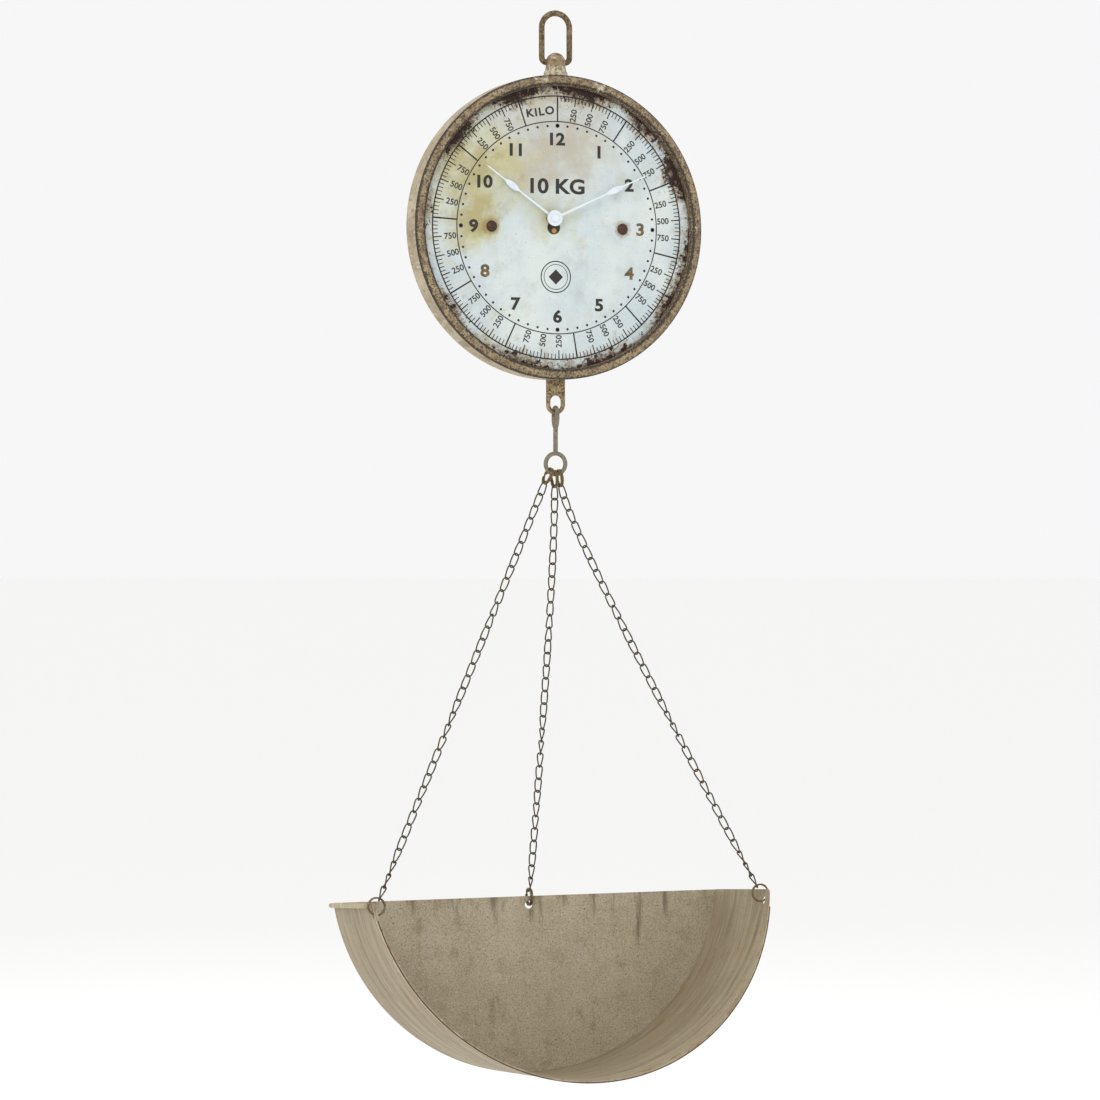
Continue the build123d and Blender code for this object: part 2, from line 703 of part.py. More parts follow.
for side, (place, slack, hole, low_axis) in hangings.items():
    turn = radians(place)
    seat = eye_centre + Vector(sin(turn), 0, -cos(turn)) * seat_r
    top_down = (hole - seat if slack is None else slack).normalized()
    top = seat + top_down * chain_start
    sag = (top + hole) * 0.5 if slack is None else top + slack
    low_down = (hole - sag).normalized()
    upper_normal = across(top_down, Vector(cos(turn), 0, sin(turn)))
    lower_normal = across(low_down, low_axis)
    upper_ring = split_ring(seat + top_down * ring_r, upper_normal)
    upper_ring.part.label = f"upper_ring_{side}"
    export_step(upper_ring.part, f"parts/upper_ring_{side}.step")
    lower_ring = split_ring(hole - low_down * ring_r, lower_normal)
    lower_ring.part.label = f"lower_ring_{side}"
    export_step(lower_ring.part, f"parts/lower_ring_{side}.step")
    chain = chain_between(top, sag, hole - low_down * chain_start, upper_normal, lower_normal)
    chain.part.label = f"chain_{side}"
    export_step(chain.part, f"parts/chain_{side}.step")

# -------------------------------------------------------------- clock movement

train_r = tooth_module * (minute_teeth + centre_teeth) / 2
train_turn = radians(train_angle)
wheel_x = train_r * cos(train_turn)
wheel_z = train_r * sin(train_turn)
setting_r = tooth_module * (centre_teeth + setting_teeth) / 2
setting_x = wheel_x + setting_r * cos(radians(setting_angle))
setting_z = wheel_z + setting_r * sin(radians(setting_angle))
wheel_phase = train_angle + 180 + 180 / centre_teeth
wheel_lag = (wheel_phase - setting_angle) % (360 / centre_teeth)
setting_phase = setting_angle + 180 + 180 / setting_teeth - wheel_lag * centre_teeth / setting_teeth
wheel_layer_y = 4.6             # back of the minute pinion's layer of wheels
hour_layer_y = 0.8              # back of the hour wheel

with BuildPart() as movement_case:
    inner_half = move_half - move_wall
    with BuildSketch(face_plane(move_back_y, hub_x, hub_z)):
        Rectangle(2 * move_half, 2 * move_half)
    extrude(amount=move_back_y - move_front_y)
    fillet(edges().filter_by(Axis.Y), 2.0)
    with BuildSketch(face_plane(move_back_y, hub_x, hub_z)):
        with Locations((0, (inner_half - 10.8) / 2)):
            Rectangle(2 * inner_half, inner_half + 10.8)
        with Locations((0, (bay_low + bay_high) / 2)):
            Rectangle(2 * inner_half, bay_high - bay_low)
    extrude(amount=move_back_y - move_front_y - move_wall, mode=Mode.SUBTRACT)
    with BuildSketch(face_plane(move_front_y + 0.5, hub_x, hub_z)):
        Circle(3.9)
    extrude(amount=4.6)
    with BuildSketch(face_plane(move_front_y + move_wall + 1, hub_x, hub_z)):
        Circle(hour_tube_r + 0.05)
    extrude(amount=10, mode=Mode.SUBTRACT)
movement_case.part.label = "movement_case"
export_step(movement_case.part, "parts/movement_case.step")

with BuildPart() as movement_cover:
    with BuildSketch(face_plane(move_back_y, hub_x, hub_z)):
        with Locations((0, (inner_half - 10.8) / 2)):
            Rectangle(2 * inner_half - 0.2, inner_half + 10.6)
        with Locations((setting_x, setting_z)):
            Circle(1.6, mode=Mode.SUBTRACT)
    extrude(amount=move_wall)
movement_cover.part.label = "movement_cover"
export_step(movement_cover.part, "parts/movement_cover.step")

with BuildPart() as movement_washer:
    with BuildSketch(face_plane(move_front_y, hub_x, hub_z)):
        Circle(9.0)
        Circle(4.0, mode=Mode.SUBTRACT)
    extrude(amount=0.5)
movement_washer.part.label = "movement_washer"
export_step(movement_washer.part, "parts/movement_washer.step")

with BuildPart() as centre_nut:
    with BuildSketch(face_plane(dial_y, hub_x, hub_z)):
        RegularPolygon(radius=6.0, side_count=6)
        Circle(3.95, mode=Mode.SUBTRACT)
    extrude(amount=2.0)
centre_nut.part.label = "centre_nut"
export_step(centre_nut.part, "parts/centre_nut.step")

battery_y = (move_front_y + move_wall + move_back_y) / 2
battery_z = hub_z + (bay_low + bay_high) / 2
with BuildPart() as battery:
    with BuildSketch(Plane(origin=(hub_x - 25, battery_y, battery_z), z_dir=(1, 0, 0))):
        Circle(battery_r)
    extrude(amount=48)
    with BuildSketch(Plane(origin=(hub_x + 22.5, battery_y, battery_z), z_dir=(1, 0, 0))):
        Circle(2.7)
    extrude(amount=2.0)
battery.part.label = "battery"
export_step(battery.part, "parts/battery.step")

with BuildPart() as battery_contacts:
    for x, bump, length in ((-26.75, -26.3, 1.28), (26.25, 24.52, 1.78)):
        with BuildSketch(Plane(origin=(hub_x + x, battery_y, battery_z), z_dir=(1, 0, 0))):
            Rectangle(8, 10)
        extrude(amount=0.5)
        with BuildSketch(Plane(origin=(hub_x + bump, battery_y, battery_z), z_dir=(1, 0, 0))):
            Circle(2.2)
        extrude(amount=length)
battery_contacts.part.label = "battery_contacts"
export_step(battery_contacts.part, "parts/battery_contacts.step")

with BuildPart() as circuit_board:
    with BuildSketch(face_plane(9.0, hub_x - 15, hub_z + 19)):
        RectangleRounded(20, 12, 1.0)
    extrude(amount=1.0)
    with BuildSketch(face_plane(8.0, hub_x - 15, hub_z + 19)):
        Circle(3.5)
    extrude(amount=1.2)
circuit_board.part.label = "circuit_board"
export_step(circuit_board.part, "parts/circuit_board.step")

rotor_x = hub_x - 16
rotor_z = hub_z - 4
with BuildPart() as drive_coil:
    with BuildSketch(Plane(origin=(hub_x - 25, 1.6, hub_z + 6), z_dir=(1, 0, 0))):
        Circle(3.8)
    extrude(amount=14)
    for x in (-26, -12):
        with BuildSketch(Plane(origin=(hub_x + x, 1.6, hub_z + 6), z_dir=(1, 0, 0))):
            Rectangle(8, 8)
        extrude(amount=1.5)
drive_coil.part.label = "drive_coil"
export_step(drive_coil.part, "parts/drive_coil.step")

with BuildPart() as stator:
    with BuildSketch(face_plane(2.2, hub_x - 18, hub_z - 4)):
        Rectangle(15, 11)
        with Locations((2, 0)):
            Circle(2.8, mode=Mode.SUBTRACT)
    extrude(amount=1.0)
stator.part.label = "stator"
export_step(stator.part, "parts/stator.step")

with BuildPart() as rotor:
    with BuildSketch(face_plane(3.5, rotor_x, rotor_z)):
        Circle(2.3)
    extrude(amount=4.0)
    with BuildSketch(face_plane(9.0, rotor_x, rotor_z)):
        Circle(0.6)
    extrude(amount=11.0)
rotor.part.label = "rotor"
export_step(rotor.part, "parts/rotor.step")

with BuildPart() as minute_arbor:
    with BuildSketch(face_plane(wheel_layer_y + 0.3, hub_x, hub_z)):
        add(gear_profile(minute_teeth, train_angle))
    extrude(amount=2.0)
    with BuildSketch(face_plane(8.5, hub_x, hub_z)):
        Circle(minute_arbor_r)
    extrude(amount=8.5 - minute_hand_y + hand_t + 0.4)
minute_arbor.part.label = "minute_arbor"
export_step(minute_arbor.part, "parts/minute_arbor.step")

with BuildPart() as intermediate_wheel:
    with BuildSketch(face_plane(wheel_layer_y, hub_x + wheel_x, hub_z + wheel_z)):
        add(gear_profile(centre_teeth, wheel_phase))
    extrude(amount=1.4)
    with BuildSketch(face_plane(hour_layer_y + 0.4, hub_x + wheel_x, hub_z + wheel_z)):
        add(gear_profile(small_teeth, train_angle + 180))
    extrude(amount=2.0)
    with BuildSketch(face_plane(9.0, hub_x + wheel_x, hub_z + wheel_z)):
        Circle(0.9)
    extrude(amount=11.5)
intermediate_wheel.part.label = "intermediate_wheel"
export_step(intermediate_wheel.part, "parts/intermediate_wheel.step")

with BuildPart() as hour_wheel:
    with BuildSketch(face_plane(hour_layer_y, hub_x, hub_z)):
        add(gear_profile(hour_teeth, train_angle + 180 / hour_teeth))
    extrude(amount=1.2)
    with BuildSketch(face_plane(hour_layer_y, hub_x, hub_z)):
        Circle(hour_tube_r)
    extrude(amount=hour_layer_y - hour_hand_y + hand_t + 0.1)
    with BuildSketch(face_plane(hour_layer_y, hub_x, hub_z)):
        Circle(hour_bore_r)
    extrude(amount=20, mode=Mode.SUBTRACT)
hour_wheel.part.label = "hour_wheel"
export_step(hour_wheel.part, "parts/hour_wheel.step")

with BuildPart() as setting_knob:
    with BuildSketch(face_plane(wheel_layer_y, hub_x + setting_x, hub_z + setting_z)):
        add(gear_profile(setting_teeth, setting_phase))
    extrude(amount=1.4)
    with BuildSketch(face_plane(move_back_y + 0.5, hub_x + setting_x, hub_z + setting_z)):
        Circle(1.5)
    extrude(amount=move_back_y + 1.5)
    with BuildSketch(face_plane(move_back_y + 2.7, hub_x + setting_x, hub_z + setting_z)):
        Circle(4.6)
        with PolarLocations(4.6, 18):
            Circle(0.45)
    extrude(amount=2.5)
setting_knob.part.label = "setting_knob"
export_step(setting_knob.part, "parts/setting_knob.step")

# ----------------------------------------------------------------------- hands

with BuildPart() as hour_hand:
    with BuildSketch(hand_plane(hour_hand_y, hour_angle)):
        add(hand_profile(hour_length, 0.62 * hour_length, 17.0, 5.2, 6.2))
        Circle(hour_tube_r + 0.02, mode=Mode.SUBTRACT)
    extrude(amount=hand_t)
hour_hand.part.label = "hour_hand"
export_step(hour_hand.part, "parts/hour_hand.step")

with BuildPart() as minute_hand:
    with BuildSketch(hand_plane(minute_hand_y, minute_angle)):
        add(hand_profile(minute_length, 0.65 * minute_length, 19.0, 5.0, 6.6))
        Circle(minute_arbor_r + 0.02, mode=Mode.SUBTRACT)
    extrude(amount=hand_t)
minute_hand.part.label = "minute_hand"
export_step(minute_hand.part, "parts/minute_hand.step")

with BuildPart() as hand_cap:
    cap_y = minute_hand_y - hand_t
    with BuildSketch(face_plane(cap_y, hub_x, hub_z)):
        Circle(3.4)
    extrude(amount=1.4)
    fillet(edges().group_by(Axis.Y)[0], 0.6)
    with BuildSketch(face_plane(cap_y, hub_x, hub_z)):
        Circle(minute_arbor_r + 0.02)
    extrude(amount=0.5, mode=Mode.SUBTRACT)
hand_cap.part.label = "hand_cap"
export_step(hand_cap.part, "parts/hand_cap.step")
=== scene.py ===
from math import atan2, cos, degrees, pi, radians, sin, sqrt

import bpy
from mathutils import Matrix, Vector


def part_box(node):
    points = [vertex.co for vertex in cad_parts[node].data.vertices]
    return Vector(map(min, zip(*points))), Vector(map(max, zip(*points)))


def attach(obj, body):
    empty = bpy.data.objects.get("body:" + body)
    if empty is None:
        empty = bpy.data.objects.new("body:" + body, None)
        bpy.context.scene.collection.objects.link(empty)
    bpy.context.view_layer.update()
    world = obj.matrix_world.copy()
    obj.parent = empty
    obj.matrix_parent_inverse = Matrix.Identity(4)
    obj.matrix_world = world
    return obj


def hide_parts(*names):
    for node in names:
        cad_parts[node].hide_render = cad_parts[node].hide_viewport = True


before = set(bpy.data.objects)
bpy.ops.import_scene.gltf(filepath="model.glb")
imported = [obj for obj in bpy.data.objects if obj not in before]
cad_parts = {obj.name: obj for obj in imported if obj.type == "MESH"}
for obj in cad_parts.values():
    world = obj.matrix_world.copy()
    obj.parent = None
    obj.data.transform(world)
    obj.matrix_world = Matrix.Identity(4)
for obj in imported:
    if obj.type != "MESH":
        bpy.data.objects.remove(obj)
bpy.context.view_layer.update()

# Hanging spring scale: a round tan case with a worn printed dial and two white
# clock hands, a bail above it, and a hook rod, three chains and a weathered
# sheet-metal scoop pan below it. Metres, +Z up, the dial faces -Y.

MM = 0.001

# ------------------------------------------------------- places, from the frame

case_low, case_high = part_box("case_drum")
DIAL_Z = (case_low.z + case_high.z) / 2
CASE_R = (case_high.x - case_low.x) / 2
RIM_Y = case_low.y
BACK_Y = case_high.y
CREST_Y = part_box("bezel")[0].y
DIAL_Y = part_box("dial_plate")[0].y
PRINT_Y = DIAL_Y - 0.05 * MM
CASE_CENTRE = Vector((0, 0, DIAL_Z))
Y_AXIS, Z_AXIS = Vector((0, 1, 0)), Vector((0, 0, 1))

PAN_YAW, PAN_PITCH = radians(-1.75), radians(5.8)
PAN_R = 173.2 * MM
PAN_LENGTH = 119.3 * MM
PAN_SLANT = 0.294
PAN_RIM = -24.3 * MM
PAN_ORIGIN = Vector((1.1, 73.5, -716.6)) * MM
PAN_U = Vector((cos(PAN_YAW), sin(PAN_YAW), 0))
PAN_W = Vector((-sin(PAN_YAW) * sin(PAN_PITCH), cos(PAN_YAW) * sin(PAN_PITCH), cos(PAN_PITCH)))
PAN_FRONT = PAN_U.cross(PAN_W)
PAN_PLACE = Matrix.Translation(PAN_ORIGIN) @ Matrix((PAN_U, -PAN_FRONT, PAN_W)).transposed().to_4x4()
HOLE_W = PAN_RIM - 9 * MM
HOLE_U = sqrt((PAN_R - 0.5 * MM) ** 2 - HOLE_W ** 2)
HOLE_Y = 9 * MM - (PAN_LENGTH - PAN_SLANT * PAN_RIM)
BACK_HOLE = Vector((0, -0.8 * MM, PAN_RIM - 7.3 * MM))


# ------------------------------------------------------------ small mesh helpers

def clear_selection():
    bpy.ops.object.select_all(action="DESELECT")


def active(piece):
    clear_selection()
    piece.select_set(True)
    bpy.context.view_layer.objects.active = piece
    return piece


def named(name):
    bpy.context.object.name = name
    bpy.context.object.data.name = name
    return bpy.context.object


def modify(piece, kind, **settings):
    """Adds a modifier with its settings and applies it."""
    active(piece)
    modifier = piece.modifiers.new(kind.lower(), kind)
    for setting, value in settings.items():
        setattr(modifier, setting, value)
    bpy.ops.object.modifier_apply(modifier=modifier.name)
    return piece


def tidy(piece):
    """Merges doubled points and turns the faces outwards."""
    active(piece)
    bpy.ops.object.mode_set(mode="EDIT")
    bpy.ops.mesh.select_all(action="SELECT")
    bpy.ops.mesh.remove_doubles(threshold=1e-6)
    bpy.ops.mesh.normals_make_consistent(inside=False)
    bpy.ops.object.mode_set(mode="OBJECT")
    return piece


def smooth(piece, angle=35):
    active(piece)
    bpy.ops.object.shade_smooth_by_angle(angle=radians(angle))
    return piece


def bake_place(piece, matrix):
    """Puts the piece's place in its mesh."""
    piece.data.transform(matrix @ piece.matrix_world)
    piece.matrix_world = Matrix.Identity(4)
    return piece


def lathe(name, outline, axis, steps=180):
    """Spins an outline of (radius, along) points round the case's or the plumb line's axis.
    Along is y on the case's axis and z on the plumb line."""
    if axis == Y_AXIS:
        points = [Vector((r, along, DIAL_Z)) for r, along in outline]
    else:
        points = [Vector((r, 0, along)) for r, along in outline]
    clear_selection()
    bpy.ops.mesh.primitive_plane_add(size=MM, location=points[0])
    piece = named(name)
    bake_place(piece, Matrix.Identity(4))
    bpy.ops.object.mode_set(mode="EDIT")
    bpy.ops.mesh.select_all(action="SELECT")
    bpy.ops.mesh.merge(type="CENTER")
    for here, there in zip(points, points[1:]):
        bpy.ops.mesh.extrude_region_move(TRANSFORM_OT_translate={"value": there - here})
    bpy.ops.mesh.select_all(action="SELECT")
    bpy.ops.mesh.spin(steps=steps, angle=2 * pi, center=CASE_CENTRE, axis=axis)
    bpy.ops.object.mode_set(mode="OBJECT")
    return tidy(piece)


def bow(centre, radius, start, end, steps):
    """Points of an arc in a flat outline, angles in degrees."""
    turns = [radians(start + (end - start) * i / steps) for i in range(steps + 1)]
    return [(centre[0] + radius * cos(a), centre[1] + radius * sin(a)) for a in turns]


def tube(name, points, radius, closed=False, sides=5):
    """A round wire along the points."""
    curve = bpy.data.curves.new(name, "CURVE")
    curve.dimensions = "3D"
    curve.bevel_depth = radius
    curve.bevel_resolution = sides
    curve.use_fill_caps = not closed
    spline = curve.splines.new("POLY")
    spline.points.add(len(points) - 1)
    for spot, point in zip(spline.points, points):
        spot.co = (*point, 1)
    spline.use_cyclic_u = closed
    piece = bpy.data.objects.new(name, curve)
    bpy.context.collection.objects.link(piece)
    active(piece)
    bpy.ops.object.convert(target="MESH")
    return smooth(tidy(named(name)), 60)


def joined(name, pieces):
    active(pieces[0])
    for piece in pieces:
        piece.select_set(True)
    bpy.ops.object.join()
    return named(name)


def cut(piece, cutter):
    """Takes the cutter's shape out of the piece."""
    modify(piece, "BOOLEAN", object=cutter, operation="DIFFERENCE", solver="EXACT")
    bpy.data.objects.remove(cutter)
    return piece


def dressed_copy(node, name, bevel):
    """A CAD piece's own shape with its edges eased, as filing and paint leave them."""
    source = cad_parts[node]
    piece = source.copy()
    piece.data = source.data.copy()
    for key in list(piece.keys()):
        del piece[key]
    piece.parent = None
    bpy.context.collection.objects.link(piece)
    active(piece)
    named(name)
    tidy(piece)
    bpy.ops.object.mode_set(mode="EDIT")
    bpy.ops.mesh.select_all(action="SELECT")
    bpy.ops.mesh.dissolve_limited(angle_limit=radians(1))
    bpy.ops.object.mode_set(mode="OBJECT")
    modify(piece, "BEVEL", width=bevel, segments=3, limit_method="ANGLE", angle_limit=radians(40))
    return smooth(piece)


# ---------------------------------------------------------------------- finishes

def colour(code):
    """An sRGB hex code as linear red, green, blue and alpha."""
    parts = [int(code[i:i + 2], 16) / 255 for i in (0, 2, 4)]
    linear = [p / 12.92 if p <= 0.04045 else ((p + 0.055) / 1.055) ** 2.4 for p in parts]
    return (*linear, 1.0)


def add(tree, kind, sockets=None, **settings):
    """Adds a node. A socket takes a value or another node's output."""
    node = tree.nodes.new("ShaderNode" + kind)
    for setting, value in settings.items():
        setattr(node, setting, value)
    for socket, value in (sockets or {}).items():
        if isinstance(value, bpy.types.NodeSocket):
            tree.links.new(value, node.inputs[socket])
        else:
            node.inputs[socket].default_value = value
    return node.outputs


def blank(name, roughness, metallic=0.0):
    """A new material, its tree and its shader."""
    material = bpy.data.materials.new(name)
    material.use_nodes = True
    tree = material.node_tree
    shader = tree.nodes["Principled BSDF"]
    shader.inputs["Roughness"].default_value = roughness
    shader.inputs["Metallic"].default_value = metallic
    return material, tree, shader


def patchy(tree, where, size, start, full, strength, stretch=(1, 1, 1), shift=0.0, push=None):
    """A mask of ragged patches of that size in mm. They start and are full at those places in
    the noise's 0 to 1, after a push towards them where another mask is given."""
    spot = add(tree, "Mapping", {"Vector": where, "Location": (shift, 0.6 * shift, 0.35 * shift),
                                 "Scale": stretch})[0]
    noise = add(tree, "TexNoise", {"Vector": spot, "Scale": 1 / (size * MM), "Detail": 7.0,
                                   "Roughness": 0.64})["Fac"]
    if push is not None:
        noise = add(tree, "Math", {0: noise, 1: push}, operation="ADD")[0]
    return add(tree, "MapRange", {"Value": noise, "From Min": start, "From Max": full,
                                  "To Max": strength})[0]


def stained(tree, where, ground, stains):
    """Lays stains over a ground colour, one over another. A stain is its colour, patch size in
    mm, start, full, strength, stretch along X, Y and Z and, for some, a push."""
    paint = ground
    for number, (code, size, start, full, strength, stretch, *push) in enumerate(stains):
        share = patchy(tree, where, size, start, full, strength, stretch, 0.37 * number, *push)
        paint = add(tree, "Mix", {0: share, 6: paint, 7: colour(code)}, data_type="RGBA")[2]
    return paint


def spread(tree, where, places):
    """Soft round patches added up. Each is its x and z in mm, its reach, its soft edge and its
    strength."""
    total = 0.0
    for x, z, reach, soft, strength in places:
        gap = add(tree, "VectorMath", {0: where, 1: (x * MM, 0, z * MM)}, operation="DISTANCE")["Value"]
        patch = add(tree, "MapRange", {"Value": gap, "From Min": (reach + soft) * MM,
                                       "From Max": reach * MM, "To Max": strength})[0]
        total = add(tree, "Math", {0: patch, 1: total}, operation="ADD")[0]
    return total


def round_the_case(tree):
    """The place measured flat from the case's axis, and its distance from that axis."""
    where = add(tree, "TexCoord")["Object"]
    flat = add(tree, "Mapping", {"Vector": where, "Location": (0, 0, -DIAL_Z), "Scale": (1, 0, 1)})[0]
    return where, flat, add(tree, "VectorMath", {0: flat}, operation="LENGTH")["Value"]


def grained(tree, shader, where, size, depth, stretch=(1, 1, 1)):
    """A bumpy grain of that size and depth, in mm."""
    spot = add(tree, "Mapping", {"Vector": where, "Scale": stretch})[0]
    lumps = add(tree, "TexNoise", {"Vector": spot, "Scale": 1 / (size * MM), "Detail": 5.0,
                                   "Roughness": 0.6})["Fac"]
    bump = add(tree, "Bump", {"Height": lumps, "Distance": depth * MM, "Strength": 1.0})[0]
    tree.links.new(bump, shader.inputs["Normal"])


def weathered(name, ground, stains, roughness, metallic=0.0, grain=(0.8, 0.1), stretch=(1, 1, 1)):
    """A ground colour under layers of stain, wear and rust, with a fine grain."""
    material, tree, shader = blank(name, roughness, metallic)
    where = add(tree, "TexCoord")["Object"]
    paint = stained(tree, where, colour(ground), stains)
    tree.links.new(paint, shader.inputs["Base Color"])
    grained(tree, shader, where, grain[0], grain[1], stretch)
    return material


# Brushed-on tan oil paint over rolled sheet steel: chalky, streaked along the drum, with
# pale worn places, brown grime and pin-head rust where the coat is thin.
case_paint = weathered(
    "tan_case_paint", "a99b80",
    [("c3b69c", 26, 0.42, 0.60, 0.80, (1, 0.3, 1)),
     ("857558", 12, 0.50, 0.66, 0.70, (1, 0.4, 1)),
     ("d6ccb7", 5, 0.57, 0.67, 0.65, (1, 0.25, 1)),
     ("5c4630", 3.0, 0.58, 0.66, 0.80, (1, 0.5, 1)),
     ("74472a", 2.0, 0.62, 0.69, 0.75, (1, 1, 1))],
    0.72, grain=(1.4, 0.12))

def browned_neck():
    """The same paint on the stamped neck, browned by handling, with ochre rust coming through
    and its flare rubbed pale."""
    material, tree, shader = blank("browned_neck_paint", 0.66)
    where = add(tree, "TexCoord")["Object"]
    height = add(tree, "SeparateXYZ", {0: where})["Z"]
    flare = add(tree, "MapRange", {"Value": height, "From Min": DIAL_Z + 136 * MM,
                                   "From Max": DIAL_Z + 130 * MM, "To Max": 0.14})[0]
    paint = stained(tree, where, colour("8b7a5c"), [
        ("a5946f", 6, 0.46, 0.60, 0.80, (1, 1, 1)),
        ("5e4c34", 5, 0.50, 0.60, 0.85, (1, 1, 1)),
        ("cdc3aa", 3, 0.58, 0.65, 0.85, (1, 1, 1), flare),
        ("8d5f26", 4, 0.59, 0.66, 0.80, (1, 1, 1)),
        ("33271b", 1.4, 0.58, 0.63, 0.85, (1, 1, 1))])
    tree.links.new(paint, shader.inputs["Base Color"])
    grained(tree, shader, where, 0.9, 0.12)
    return material


def rubbed_bezel():
    """The case's paint on the turned bezel, rubbed thin: grey-olive with brown grain and dark
    flecks, chipped pale near the neck, and black with painted shade where it meets the dial
    and the drum."""
    material, tree, shader = blank("rubbed_bezel_paint_and_painted_shade", 0.60)
    where, flat, radius = round_the_case(tree)
    # Painted shade: this mask darkens the inner slope down to the dial and the outer edge by the drum.
    painted_edge_shade = 0.0
    for start, full, amount in ((121.0, 119.0, 0.17), (118.8, 118.2, -0.12), (124.6, 126.4, 0.17)):
        edge = add(tree, "MapRange", {"Value": radius, "From Min": start * MM,
                                      "From Max": full * MM, "To Max": amount})[0]
        painted_edge_shade = add(tree, "Math", {0: edge, 1: painted_edge_shade}, operation="ADD")[0]
    chip = spread(tree, flat, [(34, 117, 2, 7, 0.20), (-13, 121, 2, 9, 0.14), (90, 84, 1, 8, 0.10)])
    # The two darkest fleck layers take the painted edge shade as their push, so they turn black at those
    # edges.
    paint = stained(tree, where, colour("937f5f"), [
        ("ab9972", 14, 0.46, 0.62, 0.75, (1, 1, 1)),
        ("6b573f", 7, 0.48, 0.60, 0.80, (1, 1, 1)),
        ("b5a98c", 2.2, 0.56, 0.65, 0.65, (1, 1, 1)),
        ("3f3022", 1.9, 0.53, 0.59, 0.92, (1, 1, 1), painted_edge_shade),
        ("6f4128", 2.6, 0.62, 0.68, 0.75, (1, 1, 1)),
        ("c8beaa", 5, 0.66, 0.70, 0.90, (1, 1, 1), chip),
        ("261c15", 0.9, 0.56, 0.61, 0.85, (1, 1, 1), painted_edge_shade)])
    tree.links.new(paint, shader.inputs["Base Color"])
    grained(tree, shader, where, 0.9, 0.12)
    return material


# Rust-brown forged wire with the last of its tan paint: matt, pitted, dark in the pits.
bail_iron = weathered(
    "forged_bail_iron", "6f5c41",
    [("94805c", 4, 0.46, 0.58, 0.80, (1, 1, 1)),
     ("463524", 2.6, 0.48, 0.58, 0.85, (1, 1, 1)),
     ("b3a27d", 1.4, 0.58, 0.64, 0.70, (1, 1, 1)),
     ("2a1f17", 1.3, 0.57, 0.64, 0.85, (1, 1, 1))],
    0.68, 0.25, grain=(0.9, 0.18))

# Painted strap steel, chipped through to brown iron nearly all over.
tab_paint = weathered(
    "chipped_tab_paint", "8f7d58",
    [("b5a47c", 4, 0.46, 0.58, 0.75, (1, 1, 1)),
     ("4a3a28", 2.0, 0.50, 0.56, 0.90, (1, 1, 1)),
     ("8a6224", 2.6, 0.58, 0.64, 0.80, (1, 1, 1)),
     ("261d16", 1.2, 0.56, 0.60, 0.85, (1, 1, 1))],
    0.66, 0.1, grain=(0.8, 0.16))

# Bare drawn iron gone grey-olive, with a dry skin of beige dust.
hook_iron = weathered(
    "grey_hook_iron", "7c7462",
    [("9a927d", 4, 0.46, 0.62, 0.70, (1, 1, 1)),
     ("4f4839", 1.6, 0.54, 0.64, 0.80, (1, 1, 1)),
     ("6e4c2c", 1.2, 0.62, 0.68, 0.60, (1, 1, 1))],
    0.60, 0.35, grain=(0.7, 0.10))

# Tarnished brass-plated split-ring wire, brighter where it rubs.
ring_brass = weathered(
    "tarnished_ring_wire", "6b5937",
    [("9a8858", 1.5, 0.50, 0.62, 0.80, (1, 1, 1)),
     ("33291d", 0.8, 0.54, 0.62, 0.85, (1, 1, 1))],
    0.50, 0.25, grain=(0.4, 0.04))

# Dark oxidised chain wire: browned steel with paler rubbed crowns.
chain_steel = weathered(
    "oxidised_chain_wire", "4a3c28",
    [("7a6b45", 3.0, 0.54, 0.66, 0.75, (1, 1, 1)),
     ("2a231a", 1.4, 0.50, 0.62, 0.85, (1, 1, 1)),
     ("5a3a22", 5, 0.58, 0.68, 0.65, (1, 1, 1))],
    0.60, 0.15, grain=(0.5, 0.05))

# Dark red-brown rust on the two domed dial screws.
screw_rust = weathered(
    "rusted_screw_head", "3a241b",
    [("5d3626", 1.5, 0.48, 0.60, 0.75, (1, 1, 1)),
     ("1f1512", 0.8, 0.52, 0.62, 0.80, (1, 1, 1))],
    0.42, 0.2, grain=(0.5, 0.08))

# Satin white stoving paint on stamped aluminium hands, faintly blue.
hand_paint = weathered(
    "white_hand_paint", "dde5ec",
    [("ccd6de", 8, 0.45, 0.65, 0.60, (1, 1, 1)),
     ("b4bbba", 1.6, 0.64, 0.70, 0.50, (1, 1, 1))],
    0.38, grain=(0.6, 0.01))

# Plain mild steel inside the case: dull grey, a little oily brown.
plain_steel = weathered(
    "dull_mild_steel", "7d7a73",
    [("5f5a50", 9, 0.46, 0.62, 0.70, (1, 1, 1)),
     ("6a4c33", 2.5, 0.63, 0.70, 0.60, (1, 1, 1))],
    0.42, 0.9, grain=(0.6, 0.02), stretch=(1, 1, 0.2))

# Hard-drawn spring wire, grey and fairly bright.
spring_wire = weathered(
    "drawn_spring_wire", "8e8d89",
    [("6f6d67", 2.5, 0.48, 0.60, 0.70, (1, 1, 1))],
    0.30, 0.95, grain=(0.4, 0.01))

# Black ABS moulding with a fine spark-eroded texture.
black_abs = weathered(
    "black_abs_moulding", "191a1b",
    [("232425", 4, 0.45, 0.60, 0.70, (1, 1, 1))],
    0.55, grain=(0.5, 0.03))

# Natural acetal wheels: milky, slightly waxy.
white_acetal = weathered(
    "milky_acetal", "e4e1d5",
    [("d3cfbf", 5, 0.45, 0.65, 0.60, (1, 1, 1))],
    0.42, grain=(0.5, 0.01))

# Soft black rubber washer, dusty.
black_rubber = weathered(
    "black_rubber", "1c1b1a",
    [("35332f", 3, 0.50, 0.66, 0.60, (1, 1, 1))],
    0.85, grain=(0.5, 0.03))

# Turned brass nut, dulled.
nut_brass = weathered(
    "turned_nut_brass", "a88747",
    [("7c6232", 2, 0.48, 0.62, 0.70, (1, 1, 1))],
    0.35, 0.9, grain=(0.4, 0.02))

